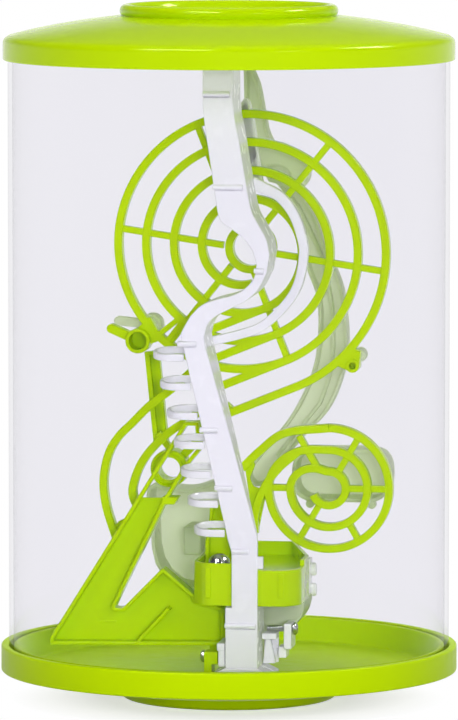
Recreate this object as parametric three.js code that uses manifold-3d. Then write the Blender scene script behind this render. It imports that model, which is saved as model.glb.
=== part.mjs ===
// Clear-cylinder ball maze: a transparent tube between two lime caps, with a lime and white
// plastic ball run inside it and one loose steel ball. Millimetres, +Z up, origin at the centre
// of the foot ring's underside. The ball run stands in a group of its own, turned about Z.
import * as THREE from "three";
import { mergeVertices } from "three/addons/utils/BufferGeometryUtils.js";
import Module from "manifold-3d";

const wasm = await Module();
wasm.setup();

// ---- driving dimensions ----
const GAP = 0.3; // clearance kept between pieces that touch
const RUN_TURN = THREE.MathUtils.degToRad(-8); // the ball run's turn inside the tube
const ROUND = 64; // segments round a cap or the tube

const TOTAL_HEIGHT = 254.2;
const LID_RADIUS = 82.5;
const BASE_RADIUS = 83.6;
const LID_SKIRT_Z = 234; // lower edge of the lid's rim
const LID_RIM_TOP_Z = 241;
const BASE_RIM_LOW_Z = 10.3;
const BASE_RIM_TOP_Z = 19.8;
const RING_RADIUS = 40.5; // foot ring and carrying ring, at their root

const TUBE_OUTER = 80.7;
const TUBE_WALL = 1.6;
const TUBE_LOW_Z = 14;
const TUBE_TOP_Z = 239;

const BASE_SCREWS = [[0, 24], [-20.8, -12], [20.8, -12]];
const FLOOR_Z = 11; // middle of the base dish
const FLOOR_RADIUS = 71.5;
const DISH_WALL_RADIUS = 77;

// ball run, front (-y) to back (+y)
const SPINE_FRONT = -38;
const SPINE_BACK = -17;
const FOOT_BACK = -20;
const FOOT_TOP_Z = 37.5;
const SLANT_TOP_Z = 131.3;
const SLANT_RUN = 16.4; // how far the slant leans, from its top to its low end
const SPINE_SLANT_LOW = new THREE.Vector2(5.1, 61.4);
const SPINE_THIN_BACK = -35.8;
const SPINE_WALL = 1.6;
const SPINE_TOP_Z = 236.9;
const RUN_FOOT_Z = FLOOR_Z + GAP;

const WHEEL_CENTRE = new THREE.Vector2(6.1, 165);
const WHEEL_PITCH = 10.3;
const WHEEL_EYE = 5.5; // radius the big spiral grows from
const WHEEL_FRONT = -3;
const WHEEL_BACK = 2.3;
const RAIL_WIDTH = 3;
const SPOKE_WIDTH = 2.4;
const SPOKE_COUNT = 6;

const SMALL_WHEEL_CENTRE = new THREE.Vector2(37.1, 77.4);
const SMALL_WHEEL_PITCH = 8;
const SMALL_WHEEL_EYE = 6.2;

const HOOP_COUNT = 7;
const HOOP_TOP_Z = 128.7;
const HOOP_STEP_Z = 10.6;
const HOOP_REACH = 12;
const HOOP_RADIUS = 7;
const HOOP_HEIGHT = 2.7;
const HOOP_WALL = 1.4;
const HOOP_MIDDLE_Y = -29;
const HOOP_TILT = 8; // degrees, back edge up

const CUP_LOW_Z = 37.8;
const CUP_FLOOR_Z = 48.2;
const CUP_RIM_Z = 53.3;
const CUP_WALL = 1.5;

const BALL_RADIUS = 4;
const BALL_PLACE = new THREE.Vector3(0.5, HOOP_MIDDLE_Y, CUP_FLOOR_Z + BALL_RADIUS + 0.05);

// ---- finishes ----
const finish = (color, roughness, metalness = 0) => ({ color, roughness, metalness });
const LIME = finish(0xb4e000, 0.3);
const WHITE = finish(0xf4f5fa, 0.35);
const CLEAR = finish(0xe8e8f4, 0.05);
const STEEL = finish(0xb8babd, 0.2, 1);

// ---- solids, joined and cut ----
function solid(geometry) {
  const bare = geometry.clone();
  bare.deleteAttribute("normal");
  bare.deleteAttribute("uv");
  const merged = mergeVertices(bare, 1e-4);
  const index = merged.index.array;
  const kept = [];
  for (let i = 0; i < index.length; i += 3) {
    const [a, b, c] = [index[i], index[i + 1], index[i + 2]];
    if (a !== b && b !== c && c !== a) kept.push(a, b, c);
  }
  const mesh = new wasm.Mesh({
    numProp: 3,
    vertProperties: merged.attributes.position.array,
    triVerts: new Uint32Array(kept),
  });
  return new wasm.Manifold(mesh);
}

function geometryOf(body) {
  const mesh = body.getMesh();
  const geometry = new THREE.BufferGeometry();
  geometry.setAttribute("position", new THREE.BufferAttribute(mesh.vertProperties, 3));
  geometry.setIndex(new THREE.BufferAttribute(mesh.triVerts, 1));
  geometry.computeVertexNormals();
  return geometry;
}

const joined = (bodies) => bodies.reduce((sum, body) => sum.add(body));
const cutBy = (body, tools) => tools.reduce((rest, tool) => rest.subtract(tool), body);

function extruded(shape, depth, curveSegments = 12) {
  return new THREE.ExtrudeGeometry(shape, { depth, curveSegments, steps: 1, bevelEnabled: false });
}

// A shape drawn in x and z, standing from y = front to y = back.
function upright(shape, front, back, curveSegments) {
  const geometry = extruded(shape, back - front, curveSegments);
  return solid(geometry.rotateX(Math.PI / 2).translate(0, back, 0));
}

// A shape drawn in x and y, lying from z = low to z = high.
function lying(shape, low, high, curveSegments) {
  return solid(extruded(shape, high - low, curveSegments).translate(0, 0, low));
}

// A ring or cap from its [radius, z] profile.
function turned(profile, segments = ROUND) {
  const points = profile.map(([r, z]) => new THREE.Vector2(r, z));
  return solid(new THREE.LatheGeometry(points, segments).rotateX(Math.PI / 2));
}

function box(x0, x1, y0, y1, z0, z1) {
  const geometry = new THREE.BoxGeometry(x1 - x0, y1 - y0, z1 - z0);
  return solid(geometry.translate((x0 + x1) / 2, (y0 + y1) / 2, (z0 + z1) / 2));
}

// A round rod along y (axis "y"), x or z.
function rod(radius, low, high, x, z, segments = 20) {
  const geometry = new THREE.CylinderGeometry(radius, radius, high - low, segments);
  return solid(geometry.translate(x, (low + high) / 2, z));
}

function rodAlongX(radius, low, high, y, z, segments = 14) {
  const geometry = new THREE.CylinderGeometry(radius, radius, high - low, segments);
  return solid(geometry.rotateZ(Math.PI / 2).translate((low + high) / 2, y, z));
}

function rodUpright(radius, low, high, x, y, segments = 20) {
  const geometry = new THREE.CylinderGeometry(radius, radius, high - low, segments);
  return solid(geometry.rotateX(Math.PI / 2).translate(x, y, (low + high) / 2));
}

// ---- outlines ----
const points2 = (pairs) => pairs.map(([x, y]) => new THREE.Vector2(x, y));
const shapeOf = (points) => new THREE.Shape(points);

function smooth(pairs, steps) {
  return new THREE.SplineCurve(points2(pairs)).getPoints(steps);
}

// The points of a line moved sideways by `shift`, to its left as it runs.
function sideways(line, shift) {
  return line.map((point, i) => {
    const before = line[Math.max(i - 1, 0)];
    const after = line[Math.min(i + 1, line.length - 1)];
    const along = after.clone().sub(before).normalize();
    return new THREE.Vector2(point.x - along.y * shift, point.y + along.x * shift);
  });
}

// A rail of constant width along an open line.
function strip(line, width) {
  const left = sideways(line, width / 2);
  const right = sideways(line, -width / 2).reverse();
  return shapeOf([...right.reverse(), ...left.reverse()]);
}

// A closed outline drawn in by `depth`; its points run anticlockwise.
function inset(outline, depth) {
  const count = outline.length;
  return outline.map((point, i) => {
    const before = point.clone().sub(outline[(i + count - 1) % count]).normalize();
    const after = outline[(i + 1) % count].clone().sub(point).normalize();
    const normal = new THREE.Vector2(-before.y - after.y, before.x + after.x).normalize();
    const spread = Math.max(0.5, Math.sqrt((1 + before.dot(after)) / 2));
    return point.clone().addScaledVector(normal, depth / spread);
  });
}

function roundedBox(x0, x1, y0, y1, radius) {
  const shape = new THREE.Shape();
  shape.absarc(x1 - radius, y0 + radius, radius, -Math.PI / 2, 0);
  shape.absarc(x1 - radius, y1 - radius, radius, 0, Math.PI / 2);
  shape.absarc(x0 + radius, y1 - radius, radius, Math.PI / 2, Math.PI);
  shape.absarc(x0 + radius, y0 + radius, radius, Math.PI, 1.5 * Math.PI);
  return shape;
}

function polar(centre, radius, angle) {
  return new THREE.Vector2(centre.x + radius * Math.cos(angle), centre.y + radius * Math.sin(angle));
}

// ---- caps and tube ----
function baseCover() {
  const shell = turned([
    [0, 4.2],
    [34, 4.2],
    [35.5, 0.6],
    [36.3, 0],
    [38.2, 0],
    [39.4, 0.7],
    [RING_RADIUS, 4.1],
    [53.2, 5.6],
    [64, 7.2],
    [74, 8.9],
    [81.6, BASE_RIM_LOW_Z - 0.3],
    [81.9, BASE_RIM_LOW_Z + 0.4],
    [73, 9.7],
    [60, 8.2],
    [40, 6.6],
    [0, 6.6],
  ]);
  return cutBy(shell, BASE_SCREWS.map(([x, y]) => rodUpright(1.9, 3, 8, x, y, 16)));
}

function baseDish() {
  const grooveOuter = TUBE_OUTER + GAP;
  const grooveInner = TUBE_OUTER - TUBE_WALL - GAP;
  return turned([
    [0, 9],
    [60, 9],
    [72, BASE_RIM_LOW_Z + 0.2],
    [82, BASE_RIM_LOW_Z + 0.8],
    [82.2, BASE_RIM_LOW_Z],
    [83, BASE_RIM_LOW_Z],
    [BASE_RADIUS, BASE_RIM_LOW_Z + 0.8],
    [BASE_RADIUS, BASE_RIM_TOP_Z - 0.8],
    [BASE_RADIUS - 0.7, BASE_RIM_TOP_Z],
    [grooveOuter, BASE_RIM_TOP_Z],
    [grooveOuter, TUBE_LOW_Z - GAP],
    [grooveInner, TUBE_LOW_Z - GAP],
    [grooveInner, BASE_RIM_TOP_Z - 0.4],
    [DISH_WALL_RADIUS, BASE_RIM_TOP_Z - 0.4],
    [FLOOR_RADIUS + 0.6, FLOOR_Z + 1],
    [FLOOR_RADIUS - 1, FLOOR_Z],
    [0, FLOOR_Z],
  ]);
}

function topCap() {
  const inner = TUBE_OUTER + GAP;
  const crown = TUBE_TOP_Z + GAP;
  return turned([
    [0, 248],
    [40, 247],
    [60, 244.6],
    [74, 242],
    [inner, crown],
    [inner, LID_SKIRT_Z],
    [LID_RADIUS - 0.6, LID_SKIRT_Z],
    [LID_RADIUS, LID_SKIRT_Z + 0.6],
    [LID_RADIUS, LID_RIM_TOP_Z],
    [81.9, 242],
    [80.4, 242.9],
    [73.2, 244.7],
    [64, 246.6],
    [53.2, 248.4],
    [RING_RADIUS, 250.2],
    [39.4, 252],
    [37.6, 253.7],
    [36, TOTAL_HEIGHT],
    [34.4, 253.8],
    [33, 251.4],
    [31, 250.8],
    [0, 250.8],
  ]);
}

function topPlate() {
  return turned([
    [0, 237.2],
    [72, 237.2],
    [78.6, 234.6],
    [78.7, 238.6],
    [72.5, 239.8],
    [0, 239.8],
  ]);
}

function clearTube() {
  const inner = TUBE_OUTER - TUBE_WALL;
  return turned([
    [inner, TUBE_LOW_Z],
    [TUBE_OUTER, TUBE_LOW_Z],
    [TUBE_OUTER, TUBE_TOP_Z],
    [inner, TUBE_TOP_Z],
    [inner, TUBE_LOW_Z],
  ]);
}

const coverDisc = (radius, low, high) => rodUpright(radius, low, high, 0, 0, 32);

// ---- spine, its ribs and its foot ----
function spineOutline() {
  const leftEdge = [
    ...points2([[-4.3, SPINE_TOP_Z], [-4.3, 219]]),
    ...smooth([[-3.4, 211], [-1.1, 195.7], [1.1, 181], [2.8, 177], [6.8, 174.3], [10.8, 171.1],
        [13.8, 167]], 16),
    ...smooth([[15.3, 162], [14.2, 157], [10.6, 153], [6.1, 150.7], [0, 149.1], [-5.1, 146.9],
        [-8.7, 143.3]], 16),
    ...smooth([[-10.9, 139.6], [-12.2, 136.4], [SPINE_SLANT_LOW.x - SLANT_RUN, SLANT_TOP_Z]], 4),
    ...points2([[SPINE_SLANT_LOW.x, SPINE_SLANT_LOW.y], [6.2, 57.5], [6.2, FOOT_TOP_Z - 0.9]]),
  ];
  const rightEdge = [
    ...points2([[15.6, FOOT_TOP_Z - 0.9], [15.6, 60.6], [15.4, 64], [6, 99], [-3.4, 132.6]]),
    ...smooth([[-3.9, 135.6], [-2.4, 140.4], [0.9, 143.5], [5.8, 146], [11.3, 148.9], [15.7, 152.9],
        [18.9, 159]], 16),
    ...smooth([[20, 165.6], [18.9, 171], [16, 176.4], [13.6, 181], [12, 188.2], [8.8, 207],
        [7.2, 215]], 16),
    ...points2([[6.6, 221], [6.6, SPINE_TOP_Z]]),
  ];
  return [...leftEdge, ...rightEdge];
}

// Left edge of the spine's long slant at height z, where the hoops hang.
function spineLeftAt(z) {
  const share = (z - SPINE_SLANT_LOW.y) / (SLANT_TOP_Z - SPINE_SLANT_LOW.y);
  return SPINE_SLANT_LOW.x - SLANT_RUN * share;
}

// The spine is an open-backed channel. Its sides grow shallow down the slant.
function spine() {
  const outline = spineOutline();
  const hollow = upright(shapeOf(inset(outline, SPINE_WALL)), SPINE_FRONT + SPINE_WALL, SPINE_BACK + 1);
  const taper = extruded(
    shapeOf(points2([[SPINE_THIN_BACK, 30], [SPINE_BACK + 1, 30], [SPINE_BACK + 1, SLANT_TOP_Z + 2],
        [SPINE_THIN_BACK, 60]])),
    60,
  );
  const below = solid(taper.rotateX(Math.PI / 2).rotateZ(Math.PI / 2).translate(-20, 0, 0));
  const foot = box(3.9, 15.7, SPINE_FRONT, FOOT_BACK, RUN_FOOT_Z + 4, FOOT_TOP_Z);
  const sole = box(-1.4, 21, SPINE_FRONT - 0.8, FOOT_BACK + 1.6, RUN_FOOT_Z, RUN_FOOT_Z + 4.2);
  const footHollow = box(5.5, 14.1, SPINE_FRONT + SPINE_WALL, FOOT_BACK + 1, 16.8, FOOT_TOP_Z - SPINE_WALL);
  const shell = cutBy(upright(shapeOf(outline), SPINE_FRONT, SPINE_BACK), [hollow, below]);
  return joined([cutBy(foot, [footHollow]), sole, shell, ...spineRibs()]);
}

function spineRibs() {
  const ridges = [
    [-4.3, 5.6, 223.4],
    [-0.7, 10.4, 189.9],
    [14.4, 18, 159.8],
    [-13.5, -6.4, 133.1],
    [-5.4, 1.3, 102],
    [0, 6.6, 81],
    [6.2, 12.4, 58.2],
    [3.7, 15.1, 31],
  ];
  const ridge = ([x0, x1, z]) => box(x0, x1, SPINE_FRONT - 0.8, SPINE_FRONT + 0.8, z - 0.6, z + 0.6);
  const latch = box(15, 17.6, SPINE_FRONT + 0.4, SPINE_THIN_BACK - 0.2, 52, 56.4);
  return [...ridges.map(ridge), latch];
}

// A white rail that curves round the wheel's middle, wider at its top end.
function guideRail() {
  const upper = smooth([[10.6, 190.3], [14.6, 188.3], [20.8, 185.1], [25.9, 178.6], [28.8, 170.3]], 20);
  const lower = smooth([[28.8, 170.3], [29.5, 163.7], [27.4, 153.2], [22.6, 145.5], [14.6, 138.1],
      [6.5, 134.9], [-5.2, 132]], 32);
  const front = SPINE_BACK + GAP;
  const line = [...upper, ...lower.slice(1)];
  const wide = strip(upper, 4.2);
  return joined([upright(strip(line, 3.4), front, front + 4), upright(wide, front, front + 4)]);
}

// ---- hoops, which the ball drops through one after another ----
function hoop(level) {
  const z = HOOP_TOP_Z - HOOP_STEP_Z * level;
  const lift = HOOP_RADIUS * Math.sin(THREE.MathUtils.degToRad(HOOP_TILT));
  const root = spineLeftAt(z + HOOP_HEIGHT / 2 + lift) - GAP;
  const middle = root - HOOP_REACH + HOOP_RADIUS;
  const inner = HOOP_RADIUS - HOOP_WALL;
  const shape = new THREE.Shape();
  shape.moveTo(root, HOOP_MIDDLE_Y - HOOP_RADIUS);
  shape.lineTo(root, HOOP_MIDDLE_Y - inner);
  shape.lineTo(middle, HOOP_MIDDLE_Y - inner);
  shape.absarc(middle, HOOP_MIDDLE_Y, inner, -Math.PI / 2, Math.PI / 2, true);
  shape.lineTo(root, HOOP_MIDDLE_Y + inner);
  shape.lineTo(root, HOOP_MIDDLE_Y + HOOP_RADIUS);
  shape.lineTo(middle, HOOP_MIDDLE_Y + HOOP_RADIUS);
  shape.absarc(middle, HOOP_MIDDLE_Y, HOOP_RADIUS, Math.PI / 2, -Math.PI / 2);
  const ring = lying(shape, -HOOP_HEIGHT / 2, HOOP_HEIGHT / 2, 8);
  return ring.translate(0, -HOOP_MIDDLE_Y, 0).rotate([HOOP_TILT, 0, 0]).translate(0, HOOP_MIDDLE_Y, z);
}

// ---- big spiral wheel ----
// Radius of the big spiral after `turns` clockwise turns, counted from the left.
const wheelRadius = (turns) => WHEEL_EYE + WHEEL_PITCH * turns;
const wheelAngle = (turns) => Math.PI - 2 * Math.PI * turns;

function wheelRail() {
  const from = 0.72;
  const to = 4.69;
  const steps = 240;
  const line = Array.from({ length: steps + 1 }, (_, i) => {
    const turns = from + ((to - from) * i) / steps;
    return polar(WHEEL_CENTRE, wheelRadius(turns), wheelAngle(turns));
  });
  return upright(strip(line, RAIL_WIDTH), WHEEL_FRONT, WHEEL_BACK);
}

// A straight ramp that leaves the underside of a turn towards the spine.
function wheelRamp(turn, length) {
  const slope = THREE.MathUtils.degToRad(22);
  const start = polar(WHEEL_CENTRE, wheelRadius(turn + 0.69), slope - Math.PI / 2);
  const end = start.clone().add(new THREE.Vector2(-length * Math.cos(slope), -length * Math.sin(slope)));
  return upright(strip([start, end], RAIL_WIDTH), WHEEL_FRONT, WHEEL_BACK);
}

function spoke(centre, angle, from, to, front, back) {
  const line = [polar(centre, from, angle), polar(centre, to, angle)];
  return upright(strip(line, SPOKE_WIDTH), front, back);
}

function ringPlate(centre, outer, inner, front, back, segments = 14) {
  const shape = new THREE.Shape();
  shape.absarc(centre.x, centre.y, outer, 0, 2 * Math.PI);
  const hole = new THREE.Path();
  hole.absarc(centre.x, centre.y, inner, 0, 2 * Math.PI);
  shape.holes.push(hole);
  return upright(shape, front, back, segments);
}

const BOSS = new THREE.Vector2(-33, 131);
const LUG = new THREE.Vector2(45.9, 122.7);
const LUG_WEB = [[40.3, 122.4], [45, 120.5], [48.3, 122.4], [48.9, 128], [46, 129], [41, 124.6]];

function bigWheel() {
  const first = THREE.MathUtils.degToRad(-8.7);
  const eye = new THREE.Vector2(WHEEL_CENTRE.x + 2.2, WHEEL_CENTRE.y + 0.4);
  const spokes = Array.from({ length: SPOKE_COUNT }, (_, i) => {
    const angle = first + (i * 2 * Math.PI) / SPOKE_COUNT;
    const turnsHere = (Math.PI - angle) / (2 * Math.PI);
    const outerTurns = turnsHere + Math.floor(4.69 - turnsHere);
    return spoke(WHEEL_CENTRE, angle, 8, wheelRadius(outerTurns), WHEEL_FRONT + 0.6, WHEEL_BACK - 0.6);
  });
  const ramps = [[1, 27], [2, 28], [3, 31], [4, 32]].map(([turn, length]) => wheelRamp(turn, length));
  const plate = upright(shapeOf(points2([[-36, 133], [-33.4, 128], [-24, 131.4],
      [-29, 140]])), WHEEL_FRONT, WHEEL_BACK);
  const web = upright(shapeOf(points2(LUG_WEB)), WHEEL_FRONT, WHEEL_BACK);
  const bars = [
    [[[-43.2, 135.2], [-34, 131.2]], 3.4],
    [[[-25.5, 133.3], [-18.6, 138.8]], 2],
    [[[-22.6, 130.6], [-16.8, 138.2]], 2],
  ].map(([line, width]) => upright(strip(points2(line), width), WHEEL_FRONT, WHEEL_BACK));
  const bosses = [
    rod(4.55, WHEEL_FRONT - 3, WHEEL_BACK + 2, BOSS.x, BOSS.y, 28),
    rod(1.7, WHEEL_FRONT, WHEEL_BACK, -43.2, 135.2, 14),
    rod(2.5, WHEEL_FRONT - 1, WHEEL_BACK + 2, LUG.x, LUG.y),
  ];
  const holes = [
    rod(3.3, WHEEL_FRONT - 4, WHEEL_BACK + 1, BOSS.x, BOSS.y, 28),
    rod(1.3, WHEEL_FRONT - 2, WHEEL_BACK - 0.5, LUG.x, LUG.y),
  ];
  const body = joined([wheelRail(), ringPlate(eye, 9.4, 6.5, WHEEL_FRONT, WHEEL_BACK), ...spokes,
      ...ramps, plate, web, ...bars, ...bosses]);
  return cutBy(body, holes);
}

// ---- small spiral wheel ----
function smallWheelLine() {
  const steps = 26;
  const line = [];
  for (let i = 8; i <= steps * 3; i += 1) {
    const turns = i / steps;
    const whole = Math.floor(turns);
    const rise = THREE.MathUtils.smoothstep(turns - whole, 0, 0.25);
    const radius = SMALL_WHEEL_EYE + SMALL_WHEEL_PITCH * (whole - 1 + rise);
    line.push(polar(SMALL_WHEEL_CENTRE, radius, Math.PI / 2 + 2 * Math.PI * turns));
  }
  return line;
}

function smallWheel() {
  const front = WHEEL_FRONT;
  const back = WHEEL_BACK;
  const ring = smallWheelLine();
  const outer = SMALL_WHEEL_EYE + 2 * SMALL_WHEEL_PITCH;
  const crown = ring[ring.length - 1];
  const tail = new THREE.SplineCurve([crown, ...points2([[21, 97.6], [12, 91.2],
      [5, 84.4]])]).getPoints(12);
  const branch = smooth([[25.6, 90.6], [18.6, 84.6], [13.2, 77.2], [10, 68], [9.6, 60.6]], 14);
  const web = shapeOf(
    points2([[5.4, 86.8], [8, 88.6], [9.6, 85.4], [7.6, 80.6], [8.8, 77.6], [11.6, 76.6],
        [14.4, 78.2], [17, 80.6], [13, 72], [11, 62], [9.2, 62]]),
  );
  const spokeAt = (degrees, from) =>
    spoke(SMALL_WHEEL_CENTRE, THREE.MathUtils.degToRad(degrees), from, outer, front + 0.6, back - 0.6);
  const spokes = [[0, 6.2], [60, 6.2], [120, 8.4], [180, 14.2], [240, 7.6], [300, 14.2]];
  return joined([
    upright(strip(ring, RAIL_WIDTH - 0.1), front, back),
    upright(strip(tail, RAIL_WIDTH), front, back),
    upright(strip(branch, RAIL_WIDTH), front, back),
    upright(web, 0.4, back),
    ...spokes.map(([degrees, from]) => spokeAt(degrees, from)),
  ]);
}

// ---- lower left spiral, its strut and the ramp tray ----
const LOWER_HUB = new THREE.Vector2(-22.3, 83.6);

function lowerWheel() {
  const front = 3;
  const back = 8;
  const outer = smooth(
    [[-14, 119.6], [-22.4, 112.2], [-29.9, 106.5], [-36.6, 99.8], [-41.8, 94.5], [-45.5, 87.8],
        [-47.2, 78.5], [-46.3, 69.3], [-43.6, 60.4], [-42.4, 57]],
    36,
  );
  const inner = smooth([[-9, 106.4], [-15.8, 101.2], [-21.7, 97.4], [-27.7, 92.1], [-32.5, 86.1],
      [-35.5, 79.4], [-36.3, 73.1], [-33, 66]], 28);
  const arm = smooth([[-17.4, 88.4], [-9.4, 96.6], [0, 107]], 6);
  const heel = points2([[-43.2, 59.2], [-41, 62.4], [-33, 66]]);
  const stay = points2([[-22.3, 90], [-27, 96.4]]);
  const rails = [outer, inner, arm].map((line) => upright(strip(line, RAIL_WIDTH), front, back));
  const hub = rod(6.9, front - 3, back + 3, LOWER_HUB.x, LOWER_HUB.y, 28);
  const bore = rod(4.15, front - 4, back + 4, LOWER_HUB.x, LOWER_HUB.y, 28);
  const ties = [heel, stay].map((line) => upright(strip(line, SPOKE_WIDTH), front + 0.6, back));
  return cutBy(joined([...rails, hub, ...ties]), [bore]);
}

function strut() {
  const line = points2([[-30, 126], [-26.6, 92]]);
  const groove = upright(strip(points2([[-29.9, 125], [-26.7, 93]]), 1.6), 8, 10);
  return cutBy(upright(strip(line, 5.4), 8 + GAP, 13), [groove]);
}

const TRAY_FRONT = -20;
const TRAY_BACK = -12;
const TRAY_WALL = 1.4;

function trayOutline() {
  return points2([
    [-63.4, 20.3],
    [1, 21.2],
    [1, 35],
    [-9.6, 37.4],
    [-9.6, 39.3],
    [-21.7, 49.4],
    [-36.5, 34.3],
    [-39.5, 34.3],
    [-20.4, 73.6],
    [-12.1, 87.3],
    [-7.6, 92.8],
    [-8.4, 103],
    [-13.6, 103],
    [-63.4, 23],
  ]);
}

function rampTray() {
  const outline = trayOutline();
  const face = TRAY_BACK - TRAY_WALL;
  const hollow = upright(shapeOf(inset(outline, TRAY_WALL)), TRAY_FRONT - 1, face);
  const rib = upright(strip(points2([[-31, 22], [-19.5, 34.3]]), 1.4), TRAY_FRONT + 1, face + 0.4);
  const tab = box(-22, -15.8, TRAY_FRONT, TRAY_BACK, 72.6, 75.4);
  const window = shapeOf(inset(points2([[-33, 73], [-22.4, 73], [-20.6, 73.4], [-12.1, 87.3],
      [-7.6, 92.8], [-8.4, 103], [-13.6, 103]]), TRAY_WALL));
  const opening = upright(window, TRAY_FRONT - 1, TRAY_BACK + 1);
  const lug = box(-4.6, 0.6, TRAY_FRONT + 2, TRAY_BACK, RUN_FOOT_Z + 5, 22);
  return joined([cutBy(upright(shapeOf(outline), TRAY_FRONT, TRAY_BACK), [hollow, opening]), rib,
      tab, lug]);
}

// ---- start cup ----
function cupOutline(inwards) {
  const corners = [[-4, -35.4], [25.4, -35.4], [30.4, -29], [30.4, -6], [20, 36], [-6, 36],
      [-9, 26], [-9, -29]];
  return shapeOf(inset(points2(corners), inwards));
}

function startCup() {
  const skirt = lying(cupOutline(0), CUP_LOW_Z, CUP_RIM_Z);
  const tray = lying(cupOutline(CUP_WALL), CUP_FLOOR_Z, CUP_RIM_Z + 1);
  const under = lying(cupOutline(CUP_WALL), CUP_LOW_Z - 1, CUP_FLOOR_Z - CUP_WALL);
  const dip = box(6, 40, -50, -20, CUP_RIM_Z - 2.3, CUP_RIM_Z + 1);
  const ribs = [-3.8, 22.8].map((x) => box(x, x + 2.2, -36, -35, CUP_LOW_Z + 3, CUP_RIM_Z - 1.6));
  return joined([cutBy(skirt, [tray, under, dip]), ...ribs]);
}

// The tall tapering plate that stands in the cup behind the ball.
function dropChute() {
  const low = CUP_FLOOR_Z + GAP;
  const plate = points2([[-7, low], [1.4, low], [1.4, 55], [-0.8, 66], [-1.9, 71.5], [-5.2, 71.5],
      [-5.6, 66], [-7, 58.6]]);
  const flange = points2([[-7, low], [-5.6, low], [-5.6, 58.4], [-4, 71.5], [-5.2, 71.5],
      [-5.6, 66], [-7, 58.6]]);
  return joined([upright(shapeOf(plate), -9, -7.6), upright(shapeOf(flange), -13, -8)]);
}

// ---- white pieces behind ----
// A long chute behind the wheels, open towards the front.
function backRibbon() {
  const leftEdge = [
    ...points2([[1.6, SPINE_TOP_Z], [2.2, 205]]),
    ...smooth([[10, 192], [21.4, 176.3], [24.8, 157.5], [28.7, 146.1], [29.6, 135], [28.2, 121.2],
        [24.1, 110], [18.2, 99.6], [8.8, 88.3]], 28),
    ...smooth([[3.4, 81.6], [3.4, 77.4], [6.6, 74.6], [10.6, 76.2]], 8),
  ];
  const rightEdge = [
    ...smooth([[12.6, 79], [23, 92.2], [32.7, 102.7], [37.9, 113.9], [40.4, 127.7], [38.9, 146.2],
        [35.2, 157.4]], 22),
    ...smooth([[32.4, 163], [28, 175], [18, 191], [11, 205.4]], 10),
    ...smooth([[10.3, 207.6], [9.1, 214.2], [7.3, 223.4], [4.9, 229.6], [4.6, SPINE_TOP_Z]], 8),
  ];
  const outline = [...leftEdge, ...rightEdge];
  const hollow = upright(shapeOf(inset(outline, 1.2)), 25, 33);
  return cutBy(upright(shapeOf(outline), 26, 34.4), [hollow]);
}

// The pointed frame between spine and wheel, with a lime plate inside it.
const ARCH = [[2, 188], [11.8, 188], [10.4, 198.8], [8.7, 209.8], [7.8, 214.6], [6.7, 218.6],
    [5.4, 220.2], [3.8, 218.4], [2, 213]];

function archFrame() {
  const outline = points2(ARCH);
  return cutBy(upright(shapeOf(outline), 5, 9), [upright(shapeOf(inset(outline, 1)), 4, 10)]);
}

function archPlate() {
  return upright(shapeOf(inset(points2(ARCH), 1 + GAP)), 6.6, 8);
}

// The rounded catching tray at the top of the back chute.
function catchTray() {
  const outline = [
    ...smooth([[12.4, 188.4], [9, 195], [7.7, 203.1]], 4),
    ...smooth([[12.6, 203.3], [17.4, 202.5], [20.7, 200.7], [23.7, 198.1], [25.9, 195.2],
        [27.4, 191.9], [27, 188.9], [24.8, 186]], 16),
    ...points2([[22.2, 184.5], [16.3, 187.4]]),
  ].reverse();
  const well = smooth([[12, 194.2], [16, 194.4], [19, 193], [20.4, 190.3], [18.2, 188.6],
      [13.6, 189.8]], 14);
  const hollow = upright(shapeOf([...well].reverse()), 15, 22);
  return cutBy(upright(shapeOf(outline), 16, 23.6), [hollow]);
}

// Rear bosses that the wheel's own bosses meet.
function rearBoss() {
  const arm = upright(strip(points2([[-43.2, 136.6], [-31, 135.4]]), 3.4), 14, 18);
  const body = joined([rod(4.2, 12, 20, -30.9, 135.3, 28), arm, rod(1.7, 14, 18, -43.2, 136.6, 14)]);
  return cutBy(body, [rod(2.8, 11, 18, -30.9, 135.3, 24)]);
}

function rearKnob() {
  const [x, z] = [47, 125.6];
  return joined([rod(2.6, 6, 14, x, z, 24), rod(1.6, 4.8, 7, x, z, 18)]);
}

function trough() {
  const outer = upright(roundedBox(21.4, 57.7, 70.6, 90.2, 9), 14, 30, 8);
  const inner = upright(roundedBox(22.9, 56.2, 72.1, 88.7, 7.5), 13, 28.4, 8);
  const pegs = [28, 50.9].map((x) => rod(1.6, 14.6, 18, x, 69.8, 12));
  return joined([cutBy(outer, [inner]), ...pegs]);
}

function bowlLeft() {
  const outline = points2([
    [-20, 37.6],
    [-9.8, 37.6],
    [-9.8, 54.4],
    [-4.6, 54.4],
    [-4.6, 78.4],
    [-7.9, 77.6],
    [-16.1, 74.6],
    [-24, 75],
    [-29, 76.8],
    [-32.2, 75.4],
    [-32.6, 71],
    [-31, 63],
    [-30.6, 53],
    [-29.2, 47],
    [-26, 41.6],
  ]);
  const hollow = upright(shapeOf(inset(outline, 1.4)), 11, 28.5);
  const block = box(-18.4, -12, 10, 29, 50.6, 61);
  return joined([cutBy(upright(shapeOf(outline), 12, 30), [hollow]), block]);
}

function bowlRight() {
  const outline = new THREE.Shape();
  outline.moveTo(3, 25.6);
  outline.lineTo(17, 25.6);
  outline.quadraticCurveTo(29.8, 26.4, 29.8, 37.4);
  outline.lineTo(3, 37.4);
  const hollow = new THREE.Shape();
  hollow.moveTo(4.6, 27.2);
  hollow.lineTo(17, 27.2);
  hollow.quadraticCurveTo(28.2, 27.8, 28.2, 38);
  hollow.lineTo(4.6, 38);
  return cutBy(upright(outline, -14, 7.6), [upright(hollow, -12.4, 6)]);
}

function knobPlate() {
  const plate = box(27.4, 28.8, 8, 16, 34, 50);
  const knobs = [46, 38.4].map((z) => rodAlongX(2.4, 28.4, 30.8, 12, z));
  return joined([plate, ...knobs]);
}

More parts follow.
